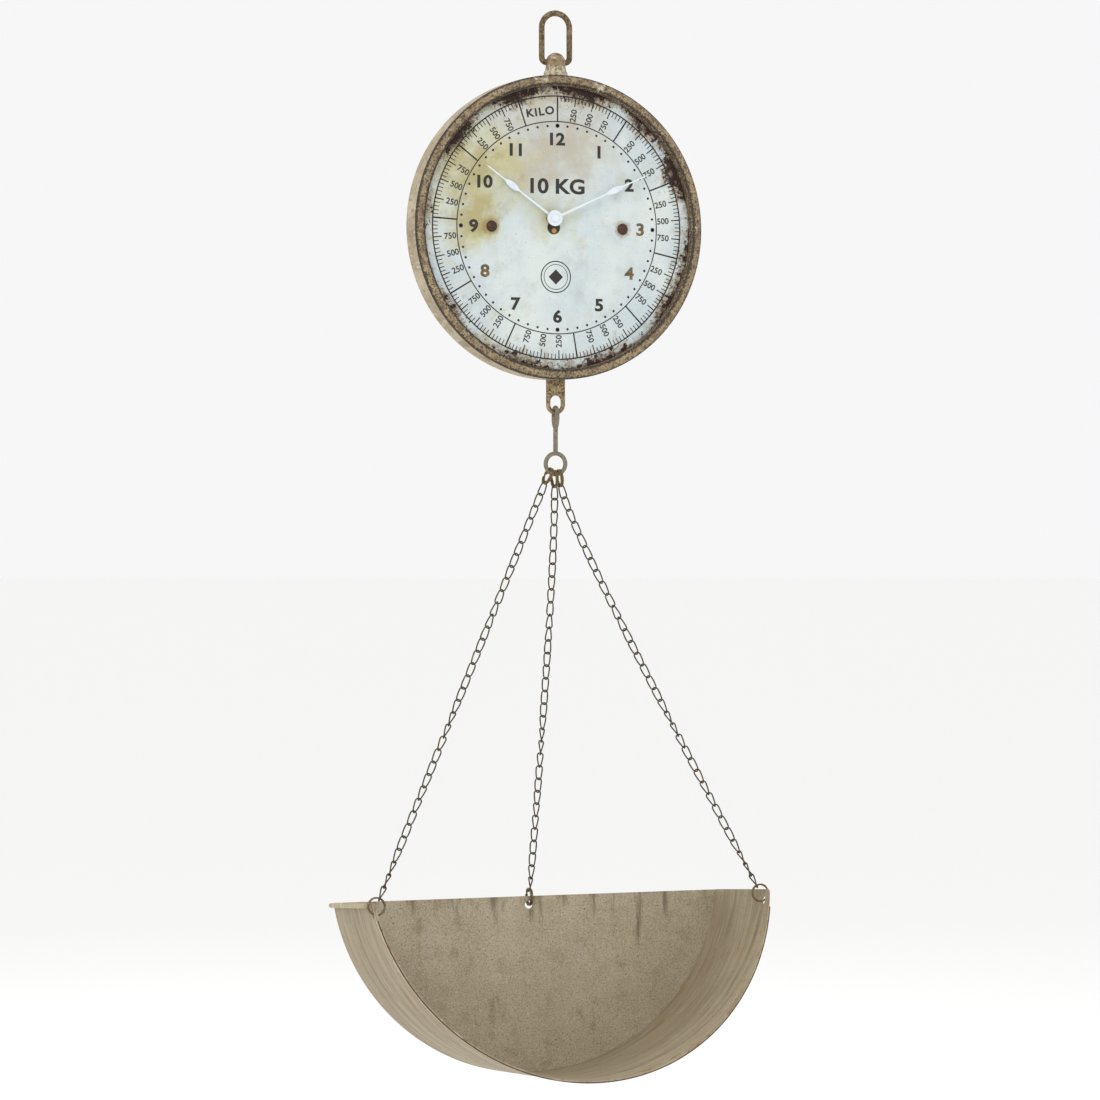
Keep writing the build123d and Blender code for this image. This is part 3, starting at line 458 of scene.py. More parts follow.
# Printed film on a dry cell: dark blue, glossy.
cell_film = weathered(
    "dark_cell_film", "27384d",
    [("31455c", 10, 0.45, 0.60, 0.60, (1, 1, 1))],
    0.28, grain=(1.0, 0.01))

# Green solder resist on a small board, with a black blob over the chip.
board_resist = weathered(
    "green_solder_resist", "1e5a33",
    [("2b7344", 3, 0.48, 0.58, 0.70, (0.3, 1, 1))],
    0.35, grain=(0.6, 0.02))

# Enamelled copper winding: fine rows of wire.
coil_copper = weathered(
    "enamelled_copper_winding", "a9552c",
    [("7e3a1c", 0.6, 0.48, 0.58, 0.70, (4, 0.3, 0.3))],
    0.32, 0.85, grain=(0.35, 0.04), stretch=(4, 0.3, 0.3))

# Printer's black on the dial, rubbed so that the enamel shows through in specks.
dial_ink = weathered(
    "rubbed_dial_ink", "25211d",
    [("443d31", 3, 0.52, 0.66, 0.60, (1, 1, 1)),
     ("8f8870", 0.9, 0.65, 0.69, 0.65, (1, 1, 1))],
    0.55, grain=(0.5, 0.01))

# The same ink where damp has turned it ochre-brown.
faded_ink = weathered(
    "ochre_faded_ink", "5d4b33",
    [("8c7750", 3, 0.46, 0.60, 0.75, (1, 1, 1)),
     ("3e2a1b", 1.4, 0.58, 0.66, 0.80, (1, 1, 1))],
    0.58, grain=(0.5, 0.01))


def dial_enamel():
    """Stove enamel on tin plate, bluish to greenish white and half matt: yellow water stains at
    the left, brown haloes round the two screws, black rust creeping in from the rim and, at the
    very edge under the bezel, a dark ring of painted shade in the rust's colours."""
    material, tree, shader = blank("stained_dial_enamel_and_painted_shade", 0.42)
    _, flat, radius = round_the_case(tree)
    even = (1, 1, 1)
    damp = spread(tree, flat, [(-8, 84, 20, 70, 0.34)])
    wet = spread(tree, flat, [
        (-58, 50, 16, 50, 0.26), (-92, 10, 6, 60, 0.26), (-84, 62, 4, 34, 0.18),
        (-70, -2, 6, 26, 0.22), (0, 4, 8, 26, 0.20),
        (66, 26, 4, 34, 0.18), (-56, -92, 6, 34, 0.16)])
    ringed = spread(tree, flat, [(-58, 0, 4.6, 5, 0.5), (58, 0, 4.6, 5, 0.5), (-67, -0.5, 1.5, 9, 0.3)])
    worst = spread(tree, flat, [
        (-90, 76, 6, 30, 0.26), (-36, 107, 8, 24, 0.24), (22, 111, 10, 30, 0.24), (76, 86, 4, 24, 0.22),
        (104, 46, 6, 26, 0.28), (112, -20, 4, 30, 0.14), (96, -62, 6, 30, 0.17),
        (-108, 14, 2, 26, 0.14), (-92, -66, 4, 30, 0.16), (-30, -110, 10, 40, 0.16),
        (40, -106, 8, 34, 0.17)])
    edge = add(tree, "MapRange", {"Value": radius, "From Min": 102 * MM, "From Max": 119 * MM,
                                  "To Max": 0.27})[0]
    creep = add(tree, "Math", {0: edge, 1: worst}, operation="ADD")[0]
    paint = stained(tree, flat, colour("c3cfd2"), [
        ("d9dfd9", 55, 0.42, 0.60, 0.65, even),
        ("b0b9b8", 18, 0.52, 0.70, 0.50, even),
        ("b3ab97", 40, 0.56, 0.86, 0.85, even, damp),
        ("bdb67f", 30, 0.60, 0.94, 0.78, even, wet),
        ("9c8a4a", 13, 0.76, 1.00, 0.55, even, wet),
        ("8f7843", 5, 0.64, 0.98, 0.75, even, ringed),
        ("7a6648", 1.6, 0.63, 0.68, 0.60, even),
        ("968562", 8, 0.70, 0.88, 0.70, even, creep),
        ("4e3021", 2.6, 0.80, 0.88, 0.80, even, creep)])
    # The old centre hole shows beside the hands' hub: black, with a brass bush in it.
    for code, place in (("241c14", (-3.4, 0, 5.4, 0.5, 1.0)), ("b08d3e", (-3.0, -2.6, 1.6, 0.9, 1.0))):
        paint = add(tree, "Mix", {0: spread(tree, flat, [place]), 6: paint, 7: colour(code)},
                    data_type="RGBA")[2]
    dark = patchy(tree, flat, 6, 0.85, 0.89, 1.0, even, 1.3, creep)
    # Painted shade: a dark ring at the dial's very edge, where it goes in under the bezel.
    painted_gap_shade = add(tree, "MapRange", {"Value": radius, "From Min": 116.2 * MM, "From Max": 118.0 * MM,
                                  "To Max": 0.6})[0]
    rust = stained(tree, flat, colour("271a15"), [("4d2b1c", 2.6, 0.50, 0.62, 0.85, even)])
    # Both take the rust colour: the dark patches are real rust, and the ring at the edge is painted shade.
    for share in (dark, painted_gap_shade):
        paint = add(tree, "Mix", {0: share, 6: paint, 7: rust}, data_type="RGBA")[2]
    tree.links.new(paint, shader.inputs["Base Color"])
    matt = add(tree, "MapRange", {"Value": dark, "To Min": 0.42, "To Max": 0.85})[0]
    tree.links.new(matt, shader.inputs["Roughness"])
    bump = add(tree, "Bump", {"Height": dark, "Distance": 0.15 * MM, "Strength": 0.6}, invert=True)[0]
    tree.links.new(bump, shader.inputs["Normal"])
    return material


def pan_sheet_finish(name, ground, stains, drips=0.0, front=0.0, fold=0.0):
    """Weathered galvanised sheet, painted thinly and worn back: matt, mottled and scratched.
    Drips are olive-brown runs from the rim, front is rust near the slanting open edge, and
    fold is the dark line along that edge. The stains run along the rolled wall."""
    material, tree, shader = blank(name, 0.62, 0.25)
    where = add(tree, "TexCoord")["Object"]
    turn = PAN_PLACE.inverted()
    local = add(tree, "Mapping", {"Vector": where, "Location": turn.to_translation(),
                                  "Rotation": turn.to_euler()})[0]
    parts = add(tree, "SeparateXYZ", {0: local})
    angle = add(tree, "Math", {0: parts["Z"], 1: parts["X"]}, operation="ARCTAN2")[0]
    along = add(tree, "Math", {0: angle, 1: PAN_R}, operation="MULTIPLY")[0]
    unrolled = local if drips else add(tree, "CombineXYZ", {0: along, 1: parts["Y"]})[0]
    inward = add(tree, "Math", {0: parts["Z"], 1: -PAN_SLANT, 2: parts["Y"]}, operation="MULTIPLY_ADD")[0]
    near_rim = add(tree, "MapRange", {"Value": parts["Z"], "From Min": PAN_RIM - 46 * MM,
                                      "From Max": PAN_RIM, "To Max": drips})[0]
    near_lip = add(tree, "MapRange", {"Value": inward, "From Min": 34 * MM - PAN_LENGTH,
                                      "From Max": -PAN_LENGTH, "To Max": front})[0]
    line = add(tree, "MapRange", {"Value": inward, "From Min": 1.6 * MM - PAN_LENGTH,
                                  "From Max": 0.7 * MM - PAN_LENGTH, "To Max": fold})[0]
    paint = stained(tree, unrolled, colour(ground), stains + [
        ("665a40", 11, 0.66, 0.78, 0.75, (1, 0, 0.16), near_rim),
        ("8c5a2c", 6, 0.68, 0.80, 0.80, (0.5, 1, 1), near_lip),
        ("3a2c1f", 1.4, 0.72, 0.80, 0.90, (1, 1, 1), line)])
    tree.links.new(paint, shader.inputs["Base Color"])
    grained(tree, shader, where, 1.1, 0.10)
    return material


back_sheet = pan_sheet_finish(
    "mottled_back_sheet", "aa9e86",
    [("b7ab94", 44, 0.44, 0.64, 0.70, (1, 1, 1)),
     ("8d8068", 20, 0.52, 0.70, 0.50, (1, 1, 1)),
     ("a7aba6", 34, 0.58, 0.74, 0.45, (1, 1, 1)),
     ("7f6c44", 14, 0.59, 0.70, 0.55, (1, 1, 0.5)),
     ("c6bba3", 1.6, 0.52, 0.62, 0.60, (1, 1, 1)),
     ("6e614a", 1.4, 0.52, 0.62, 0.65, (1, 1, 1)),
     ("40362a", 2.2, 0.63, 0.67, 0.85, (1, 1, 1))],
    drips=0.17)
# The rolled wall: lighter beige, its streaks along the bend, rust-orange at the front.
wall_sheet = pan_sheet_finish(
    "streaked_wall_sheet", "a09277",
    [("b7aa8f", 26, 0.42, 0.66, 0.65, (0.10, 1, 1)),
     ("7a6d54", 7, 0.46, 0.66, 0.75, (0.06, 1, 1)),
     ("cbc0a8", 2.4, 0.54, 0.68, 0.50, (0.07, 1, 1)),
     ("85602f", 8, 0.57, 0.68, 0.65, (0.2, 1, 1)),
     ("594a33", 1.6, 0.60, 0.66, 0.75, (0.5, 1, 1))],
    front=0.18)
# The folded front lip and the beads: rubbed pale, with rust at the fold.
lip_sheet = pan_sheet_finish(
    "rubbed_lip_sheet", "b3a688",
    [("d0c5ab", 9, 0.46, 0.60, 0.80, (0.4, 1, 1)),
     ("7a6846", 4, 0.52, 0.64, 0.70, (0.4, 1, 1)),
     ("85532a", 3, 0.60, 0.68, 0.65, (0.5, 1, 1)),
     ("4b3b28", 1.2, 0.60, 0.66, 0.80, (1, 1, 1))],
    fold=0.4)


def dress(piece, material):
    piece.data.materials.clear()
    piece.data.materials.append(material)
    return piece


def fit(piece, body, material, slot, *nodes):
    """Gives a finished piece its finish and its place in the object."""
    dress(piece, material)
    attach(piece, body)
    if nodes:
        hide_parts(*nodes)
    return piece


# ------------------------------------------------------------------ camera, stage

def camera():
    """Level, 20 degrees round to the left, far enough back for a long lens."""
    reach = 3.177
    turn = radians(20)
    forward = Vector((sin(turn), cos(turn), 0))
    right = Vector((cos(turn), -sin(turn), 0))
    spot = -forward * reach - right * 0.0046 + Vector((0, 0, -0.3875))
    data = bpy.data.cameras.new("camera")
    data.lens = 124.7
    data.sensor_width = 36
    data.shift_y = -0.0627
    data.clip_end = 30
    seat = bpy.data.objects.new("camera", data)
    aim = Matrix.Rotation(-turn, 4, "Z") @ Matrix.Rotation(pi / 2, 4, "X")
    seat.matrix_world = Matrix.Translation(spot) @ aim
    bpy.context.collection.objects.link(seat)
    bpy.context.scene.camera = seat


def softbox(name, spot, aim, size, power):
    data = bpy.data.lights.new(name, "AREA")
    data.size = size
    data.energy = power
    lamp = bpy.data.objects.new(name, data)
    toward = Vector(aim) - Vector(spot)
    lamp.matrix_world = Matrix.Translation(spot) @ toward.to_track_quat("-Z", "Y").to_matrix().to_4x4()
    bpy.context.collection.objects.link(lamp)


def studio():
    """A pale floor, a white room and three soft lights."""
    world = bpy.data.worlds.new("white_room")
    world.use_nodes = True
    world.node_tree.nodes["Background"].inputs["Color"].default_value = (1, 1, 1, 1)
    world.node_tree.nodes["Background"].inputs["Strength"].default_value = 0.93
    bpy.context.scene.world = world
    bpy.context.scene.view_settings.view_transform = "Standard"
    centre = (0, 0, -0.45)
    softbox("key_light", (-1.6, -2.2, 1.2), centre, 1.4, 22)
    softbox("fill_light", (2.0, -2.0, 0.3), centre, 1.6, 2)
    softbox("back_light", (0.6, 2.2, 0.9), centre, 1.2, 8)
    clear_selection()
    bpy.ops.mesh.primitive_plane_add(size=80, location=(0, 0, -1.16))
    floor = named("floor")
    material, _, shader = blank("pale_floor", 0.9)
    shader.inputs["Base Color"].default_value = colour("fdfdfc")
    dress(floor, material)


# --------------------------------------------------------------- case and its neck

def case_pieces():
    wall = 1.2 * MM
    corner = 4 * MM
    outline = [(CASE_R, RIM_Y), (CASE_R - 0.25 * MM, RIM_Y + 0.7 * MM), (CASE_R, RIM_Y + 1.5 * MM)]
    outline += bow((CASE_R - corner, BACK_Y - corner), corner, 0, 90, 8)
    outline += [(112 * MM, BACK_Y), (112 * MM, BACK_Y - wall)]
    outline += bow((CASE_R - corner, BACK_Y - corner), corner - wall, 90, 0, 8)
    outline += [(CASE_R - wall, RIM_Y), (CASE_R, RIM_Y)]
    drum = lathe("drum_shell", outline, Y_AXIS, 256)
    clear_selection()
    bpy.ops.mesh.primitive_cube_add(size=1, location=(0, 0, DIAL_Z - CASE_R))
    slot_cutter = named("slot_cutter")
    slot_cutter.scale = (17 * MM, 2.8 * MM, 12 * MM)
    cut(drum, slot_cutter)
    fit(smooth(drum), "case", case_paint, "case_paint", "case_drum")

    opening = 118 * MM
    crest_r = 122.4 * MM
    outline = [(CASE_R, RIM_Y), (CASE_R, RIM_Y - 0.5 * MM)]
    outline += [(CASE_R - 0.3 * MM, RIM_Y - 1.5 * MM), (CASE_R - 1.2 * MM, CREST_Y + 0.95 * MM)]
    outline += [(CASE_R - 2.6 * MM, CREST_Y + 0.25 * MM), (crest_r, CREST_Y)]
    outline += [(120.6 * MM, CREST_Y + 0.15 * MM), (119.2 * MM, CREST_Y + 0.7 * MM)]
    outline += [(118.3 * MM, CREST_Y + 1.5 * MM), (opening, CREST_Y + 2.6 * MM)]
    outline += [(opening, DIAL_Y - 0.05 * MM), (opening + 1.2 * MM, DIAL_Y - 0.05 * MM)]
    outline += [(opening + 1.2 * MM, RIM_Y + 2.5 * MM), (125.3 * MM, RIM_Y + 2.5 * MM)]
    outline += [(125.3 * MM, RIM_Y), (CASE_R, RIM_Y)]
    rim = lathe("bezel_rim", outline, Y_AXIS, 256)
    fit(smooth(rim, 50), "case", rubbed_bezel(), "bezel_paint", "bezel")


def neck():
    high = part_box("top_neck")[1]
    knob = 8.2 * MM
    pivot = high.z - knob
    foot = DIAL_Z + 129 * MM
    outline = bow((0, pivot), knob, 90, 0, 12)
    outline += [(knob, pivot - 2.5 * MM), (knob + 0.15 * MM, pivot - 4.4 * MM)]
    outline += [(knob + 0.55 * MM, pivot - 6.2 * MM), (9.2 * MM, pivot - 7.6 * MM)]
    outline += [(10 * MM, foot), (10 * MM, DIAL_Z + 126.1 * MM)]
    outline += [(2.4 * MM, DIAL_Z + 126.3 * MM), (2.4 * MM, DIAL_Z + 54 * MM), (0, DIAL_Z + 54 * MM)]
    piece = lathe("neck_dome", outline, Z_AXIS, 64)
    fit(smooth(piece, 50), "case", browned_neck(), "case_paint", "top_neck")


def bail():
    low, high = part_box("bail")
    wire = 2.45 * MM
    leg = high.x - 2.5 * MM
    top = high.z - 2.5 * MM - leg
    foot = low.z + 2.5 * MM
    bend = 4 * MM
    side = [(2.8 * MM, foot)] + bow((leg - bend, foot + bend), bend, -90, 0, 6)
    side += bow((0, top), leg, 0, 90, 14)
    other = [(-x, z) for x, z in reversed(side[:-1])]
    wire_piece = tube("bail_wire", [(x, 0, z) for x, z in side + other], wire, sides=7)
    weld = tube("bail_weld", [(-1.6 * MM, 0, high.z - 2.58 * MM), (1.6 * MM, 0, high.z - 2.52 * MM)],
                2.49 * MM, sides=7)
    piece = joined("bail_loop", [wire_piece, weld])
    fit(piece, "bail", bail_iron, "iron", "bail")


# ------------------------------------------------------------------ dial and hands

def on_dial(piece, x, z, turn=0.0):
    """Stands a flat piece up on the dial, in mm from its centre, turned clockwise in degrees."""
    place = Matrix.Translation((x * MM, PRINT_Y, DIAL_Z + z * MM))
    face = Matrix.Rotation(radians(turn), 4, "Y") @ Matrix.Rotation(pi / 2, 4, "X")
    return bake_place(piece, place @ face)


def figures(words, height, bold=0.0, gap=1.0, wide=1.0):
    """Printed figures as a thin mesh, centred, their height in mm, and widened."""
    clear_selection()
    bpy.ops.object.text_add()
    piece = bpy.context.object
    piece.data.body = words
    piece.data.align_x = "CENTER"
    piece.data.align_y = "CENTER"
    piece.data.size = height * MM / 0.66
    piece.data.offset = bold * height * MM
    piece.data.space_character = gap
    piece.data.extrude = 0.015 * MM
    piece.data.resolution_u = 4
    bpy.ops.object.convert(target="MESH")
    piece = bpy.context.object
    piece.matrix_world = Matrix.Identity(4)
    middle = sum((Vector(c) for c in piece.bound_box), Vector()) / 8
    piece.data.transform(Matrix.Diagonal((wide, 1, 1, 1)) @ Matrix.Translation((-middle.x, -middle.y, 0)))
    return piece


def fan(kind, mark_r, steps, angle, length, width, round_mark=False):
    """Marks repeated round the dial from 12 o'clock, as one flat mesh."""
    clear_selection()
    spot = (0, PRINT_Y, DIAL_Z + mark_r * MM)
    if round_mark:
        bpy.ops.mesh.primitive_circle_add(vertices=16, radius=width * MM / 2, fill_type="NGON",
                                          location=spot, rotation=(pi / 2, 0, 0))
    else:
        bpy.ops.mesh.primitive_plane_add(size=1, location=spot, rotation=(pi / 2, 0, 0))
        bpy.context.object.scale = (width * MM, length * MM, 1)
    piece = named(kind)
    bpy.context.view_layer.update()
    bake_place(piece, Matrix.Identity(4))
    bpy.ops.object.mode_set(mode="EDIT")
    bpy.ops.mesh.select_all(action="SELECT")
    if steps:
        bpy.ops.mesh.spin(steps=steps, angle=radians(angle), dupli=True, center=CASE_CENTRE, axis=-Y_AXIS)
    bpy.ops.object.mode_set(mode="OBJECT")
    return piece


def circle_line(name, radius, width):
    half = width / 2
    outline = [((radius - half) * MM, PRINT_Y), ((radius + half) * MM, PRINT_Y)]
    return lathe(name, outline, Y_AXIS, 192)


def dial_print():
    """Ten kilo sectors of quarters and ticks, a roundel, and a clock's figures and minute dots."""
    sector = 34.16                    # degrees for one kilo
    ring_out, ring_in = 109.6, 88.4
    dot_r, label_r, unit_r, hour_r = 84.9, 94.6, 97.4, 73.8
    lowest = 174.4                    # degrees; beyond it the quarters are read from the left
    lines = [circle_line("outer_line", ring_out, 1.15), circle_line("inner_line", ring_in, 0.9)]
    lines.append(fan("fine_ticks", ring_out - 2.3, 200, 10 * sector, 4.6, 0.72))
    lines.append(fan("quarter_ticks", ring_out - 3.8, 40, 10 * sector, 7.6, 0.9))
    lines.append(fan("sector_lines", (ring_out + ring_in) / 2, 10, 10 * sector, ring_out - ring_in, 1.25))
    lines.append(fan("minute_dots", dot_r, 59, 354, 0, 2.1, True))
    lines.append(fan("quarter_dots", dot_r, 3, 270, 0, 3.6, True))
    for kilo in range(10):
        for quarter in (1, 2, 3):
            angle = (kilo + quarter / 4) * sector
            label = figures(str(250 * quarter), 4.7, 0.03)
            turn = angle - 90 if angle < lowest else angle + 90
            a = radians(angle)
            lines.append(on_dial(label, label_r * sin(a), label_r * cos(a), turn))
    unit = radians(351.0)
    heading = figures("KILO", 6.0, 0.05, 1.2, 1.1)
    lines.append(on_dial(heading, unit_r * sin(unit), unit_r * cos(unit), -9.0))
    lines.append(on_dial(figures("10 KG", 11.2, 0.045, 1.0, 1.15), 0, 34.5))
    roundel = [circle_line("roundel_line", 13.0, 0.9), circle_line("roundel_inner", 10.4, 0.5)]
    lozenge = fan("roundel_lozenge", 0, 0, 0, 9.0, 9.0)
    centre = Matrix.Translation(CASE_CENTRE)
    lozenge.data.transform(centre @ Matrix.Rotation(pi / 4, 4, "Y") @ centre.inverted())
    for mark in roundel + [lozenge]:
        mark.data.transform(Matrix.Translation((-1.5 * MM, 0, -41.0 * MM)))
        lines.append(mark)
    hours = {}
    for hour in range(1, 13):
        a = radians(30 * hour)
        numeral = figures(str(hour), 9.2, 0.055, 1.0, 1.15)
        hours[hour] = on_dial(numeral, hour_r * sin(a), hour_r * cos(a))
    browned = [hours.pop(hour) for hour in (3, 4, 8)]
    black = joined("dial_printing", lines + list(hours.values()))
    fit(black, "case", dial_ink, "dial_enamel")
    fit(joined("browned_numerals", browned), "case", faded_ink, "dial_enamel")


def dial_fixings():
    head_r, head_h = 4.7 * MM, 2.15 * MM
    dome = (head_r ** 2 + head_h ** 2) / (2 * head_h)
    low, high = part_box("dial_screws")
    heads = []
    for x in (low.x + 4.8 * MM, high.x - 4.8 * MM):
        half = degrees(atan2(head_r, dome - head_h))
        outline = [(r, DIAL_Y - head_h + dome - along) for r, along in
                   [(dome * sin(radians(half * i / 8)), dome * cos(radians(half * i / 8))) for i in range(9)]]
        outline.append((head_r, DIAL_Y))
        head = lathe("screw_head", outline, Y_AXIS, 40)
        head.data.transform(Matrix.Translation((x, 0, 0)))
        heads.append(head)
    fit(smooth(joined("domed_screw_heads", heads), 60), "case", screw_rust, "rusted_screw", "dial_screws")


def hands():
    for node, name, bevel, body in (("hour_hand", "hour_spade", 0.14, "hour_hand"),
                                    ("minute_hand", "minute_spade", 0.14, "minute_hand"),
                                    ("hand_cap", "centre_cap", 0.1, "minute_hand")):
        fit(dressed_copy(node, name, bevel * MM), body, hand_paint, "hand_white", node)


# -------------------------------------------------------------- draw bar and hook

def draw_bar():
    piece = dressed_copy("draw_bar", "draw_bar_strap", 0.45 * MM)
    fit(piece, "draw_bar", tab_paint, "case_paint", "draw_bar")


def hook():
    low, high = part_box("hook_rod")
    wire = 1.95 * MM
    loop = 4 * MM
    top = high.z - 2 * MM - loop
    floor = top - 5.0 * MM
    eye_r = (high.x - low.x) / 2 - 1.8 * MM
    eye_z = low.z + eye_r + 1.8 * MM
    path = [(0.6 * MM, floor - 7.2 * MM), (2.6 * MM, floor - 5.6 * MM), (loop, floor - 2.0 * MM)]
    path += bow((0, top), loop, 0, 180, 12)
    path += [(-loop, floor - 1.0 * MM), (-3.1 * MM, floor - 4.0 * MM), (-1.2 * MM, floor - 6.8 * MM)]
    path += [(-0.1 * MM, floor - 9.5 * MM), (0, floor - 13 * MM), (0, eye_z + eye_r + 3 * MM)]
    path += [(0, eye_z + eye_r)]
    rod = tube("hook_bend", [(0, y, z) for y, z in path], wire, sides=6)
    ring = tube("hook_eye", [(x, 0, z) for x, z in bow((0, eye_z), eye_r, 90, 450, 48)[:-1]], 1.8 * MM,
                closed=True, sides=6)
    fit(joined("hook_and_eye", [rod, ring]), "hook_rod", hook_iron, "iron", "hook_rod")


# --------------------------------------------------------------- rings and chains

RING_R = 7 * MM
SEAT_R = 5.7 * MM               # from the eye's centre to the wire of a ring that hangs in it
CHAIN_START = 12.9 * MM         # from there to the first link's end
LINK_PITCH = 10.9 * MM
LINK_PLAY = 0.3 * MM
LINK_WIRE = 0.62 * MM
LINK_WIDTH = 3.9 * MM


def turned(direction, normal, centre):
    """The matrix that stands a flat ring, normal along Z, at the centre with that normal."""
    side = normal.cross(direction).normalized()
    rows = Matrix((side, direction, normal)).transposed().to_4x4()
    return Matrix.Translation(centre) @ rows


def split_ring(name, centre, direction, normal):
    """A key ring: nearly two flat turns of wire that step over each other once."""
    wire = 0.74 * MM
    turns = []
    for i in range(97):
        angle = radians(700 * i / 96)
        step = min(max((degrees(angle) - 320) / 70, 0), 1)
        lift = (step * step * (3 - 2 * step) - 0.5) * 2 * wire
        turns.append(Vector((RING_R * cos(angle), RING_R * sin(angle), lift)))
    place = turned(direction, normal, centre)
    return tube(name, [place @ p for p in turns], wire, sides=3)


def twisted_link(inner_length, wire, inner_width, twist):
    """A plain link, closed by its weld, then twisted along its length."""
    bend = inner_width / 2 + wire
    half = inner_length / 2 + wire - bend
    bend_steps, side_points = 8, 3
    loop = bow((0, half), bend, 0, 180, bend_steps) + bow((0, -half), bend, 180, 360, bend_steps)
    side = [(x, 0, z) for x, z in loop]
    heights = [half - 2 * half * i / (side_points + 1) for i in range(1, side_points + 1)]
    left = [(-bend, 0, z) for z in heights]
    right = [(bend, 0, -z) for z in heights]
    points = side[:bend_steps + 1] + left + side[bend_steps + 1:] + right
    link = tube("link", points, wire, closed=True, sides=2)
    modify(link, "SIMPLE_DEFORM", deform_method="TWIST", deform_axis="Z", angle=twist)
    return link


def across(direction, axis):
    return (axis - direction * axis.dot(direction)).normalized()


def hanging_line(top, sag, low):
    """The soft curve that a chain hangs in, cut into equal steps of about one link each."""
    fine = [top * (1 - t) ** 2 + sag * (2 * t * (1 - t)) + low * t ** 2
            for t in (i / 2000 for i in range(2001))]
    run = sum((there - here).length for here, there in zip(fine, fine[1:]))
    count = round(run / LINK_PITCH)
    ends, travelled = [top], 0.0
    for here, there in zip(fine, fine[1:]):
        travelled += (there - here).length
        if travelled >= len(ends) * run / count and len(ends) < count:
            ends.append(there)
    return ends + [low], run / count


def chain_set():
    """Three chains, each from its upper split ring at the eye to its lower one on the pan."""
    low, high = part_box("hook_rod")
    eye = Vector((0, 0, low.z + (high.x - low.x) / 2))
    hangings = {
        "left": (-48, None, Vector((-HOLE_U, HOLE_Y, HOLE_W)), PAN_FRONT),
        "middle": (-10, Vector((3.0, 6.0, -72.0)) * MM, BACK_HOLE, PAN_U),
        "right": (28, Vector((3.0, -5.0, -33.0)) * MM, Vector((HOLE_U, HOLE_Y, HOLE_W)), PAN_FRONT),
    }
    for side, (place, slack, hole, low_axis) in hangings.items():
        turn = radians(place)
        seat = eye + Vector((sin(turn), 0, -cos(turn))) * SEAT_R
        hole = PAN_PLACE @ hole
        top_down = (slack or hole - seat).normalized()
        top = seat + top_down * CHAIN_START
        sag = top + slack if slack else (top + hole) / 2
        low_down = (hole - sag).normalized()
        upper_normal = across(top_down, Vector((cos(turn), 0, sin(turn))))
        ring = split_ring("split_ring_top_" + side, seat + top_down * RING_R, top_down, upper_normal)
        fit(ring, "pan_set", ring_brass, "ring_wire", "upper_ring_" + side)
        lower_normal = across(low_down, low_axis)
        ring = split_ring("split_ring_low_" + side, hole - low_down * RING_R, low_down, lower_normal)
        fit(ring, "pan_set", ring_brass, "ring_wire", "lower_ring_" + side)
        ends, pitch = hanging_line(top, sag, hole - low_down * CHAIN_START)
        link = twisted_link(pitch + LINK_PLAY, LINK_WIRE, LINK_WIDTH, radians(78))
        links = []
        for i, (here, there) in enumerate(zip(ends, ends[1:])):
            down = (there - here).normalized()
            drift = radians(24 * sin(i * 1.05) + 20 * sin(i * 0.41) + 75 * i / len(ends))
            first = across(down, upper_normal)
            width = first * cos(drift) + down.cross(first) * sin(drift)
            copy = link.copy()
            copy.data = link.data.copy()
            bpy.context.collection.objects.link(copy)
            rows = Matrix((width, down.cross(width), down)).transposed().to_4x4()
            copy.data.transform(Matrix.Translation((here + there) / 2) @ rows)
            links.append(copy)
        bpy.data.objects.remove(link)
        chain = joined("link_chain_" + side, links)
        fit(smooth(chain, 80), "pan_set", chain_steel, "chain_wire", "chain_" + side)


# ---------------------------------------------------------------------------- pan

def lip(w):
    """How far the open edge stands in front of the back, at that height."""
    return PAN_LENGTH - PAN_SLANT * w


def slice_off(piece, point, normal):
    """Cuts the piece by a plane and drops what is beyond it."""
    active(piece)
    bpy.ops.object.mode_set(mode="EDIT")
    bpy.ops.mesh.select_all(action="SELECT")
    bpy.ops.mesh.bisect(plane_co=point, plane_no=normal, clear_outer=True)
    bpy.ops.object.mode_set(mode="OBJECT")
    return piece


def rolled_sheet(name, radius):
    """A long open cylinder along the pan's own axis, its back at y 0 and its front at -y."""
    depth = lip(-PAN_R) + 6 * MM
    clear_selection()
    bpy.ops.mesh.primitive_cylinder_add(vertices=256, radius=radius, depth=depth, end_fill_type="NOTHING",
                                        location=(0, -depth / 2, 0), rotation=(pi / 2, 0, 0))
    piece = named(name)
    bpy.context.view_layer.update()
    return bake_place(piece, Matrix.Identity(4))


def ring_hole(piece, spot, along):
    clear_selection()
    bpy.ops.mesh.primitive_cylinder_add(vertices=32, radius=3.4 * MM, depth=24 * MM, location=spot)
    cutter = bpy.context.object
    if along == "Y":
        cutter.rotation_euler = (pi / 2, 0, 0)
    else:
        cutter.rotation_euler = (0, pi / 2, 0)
    return cut(piece, cutter)


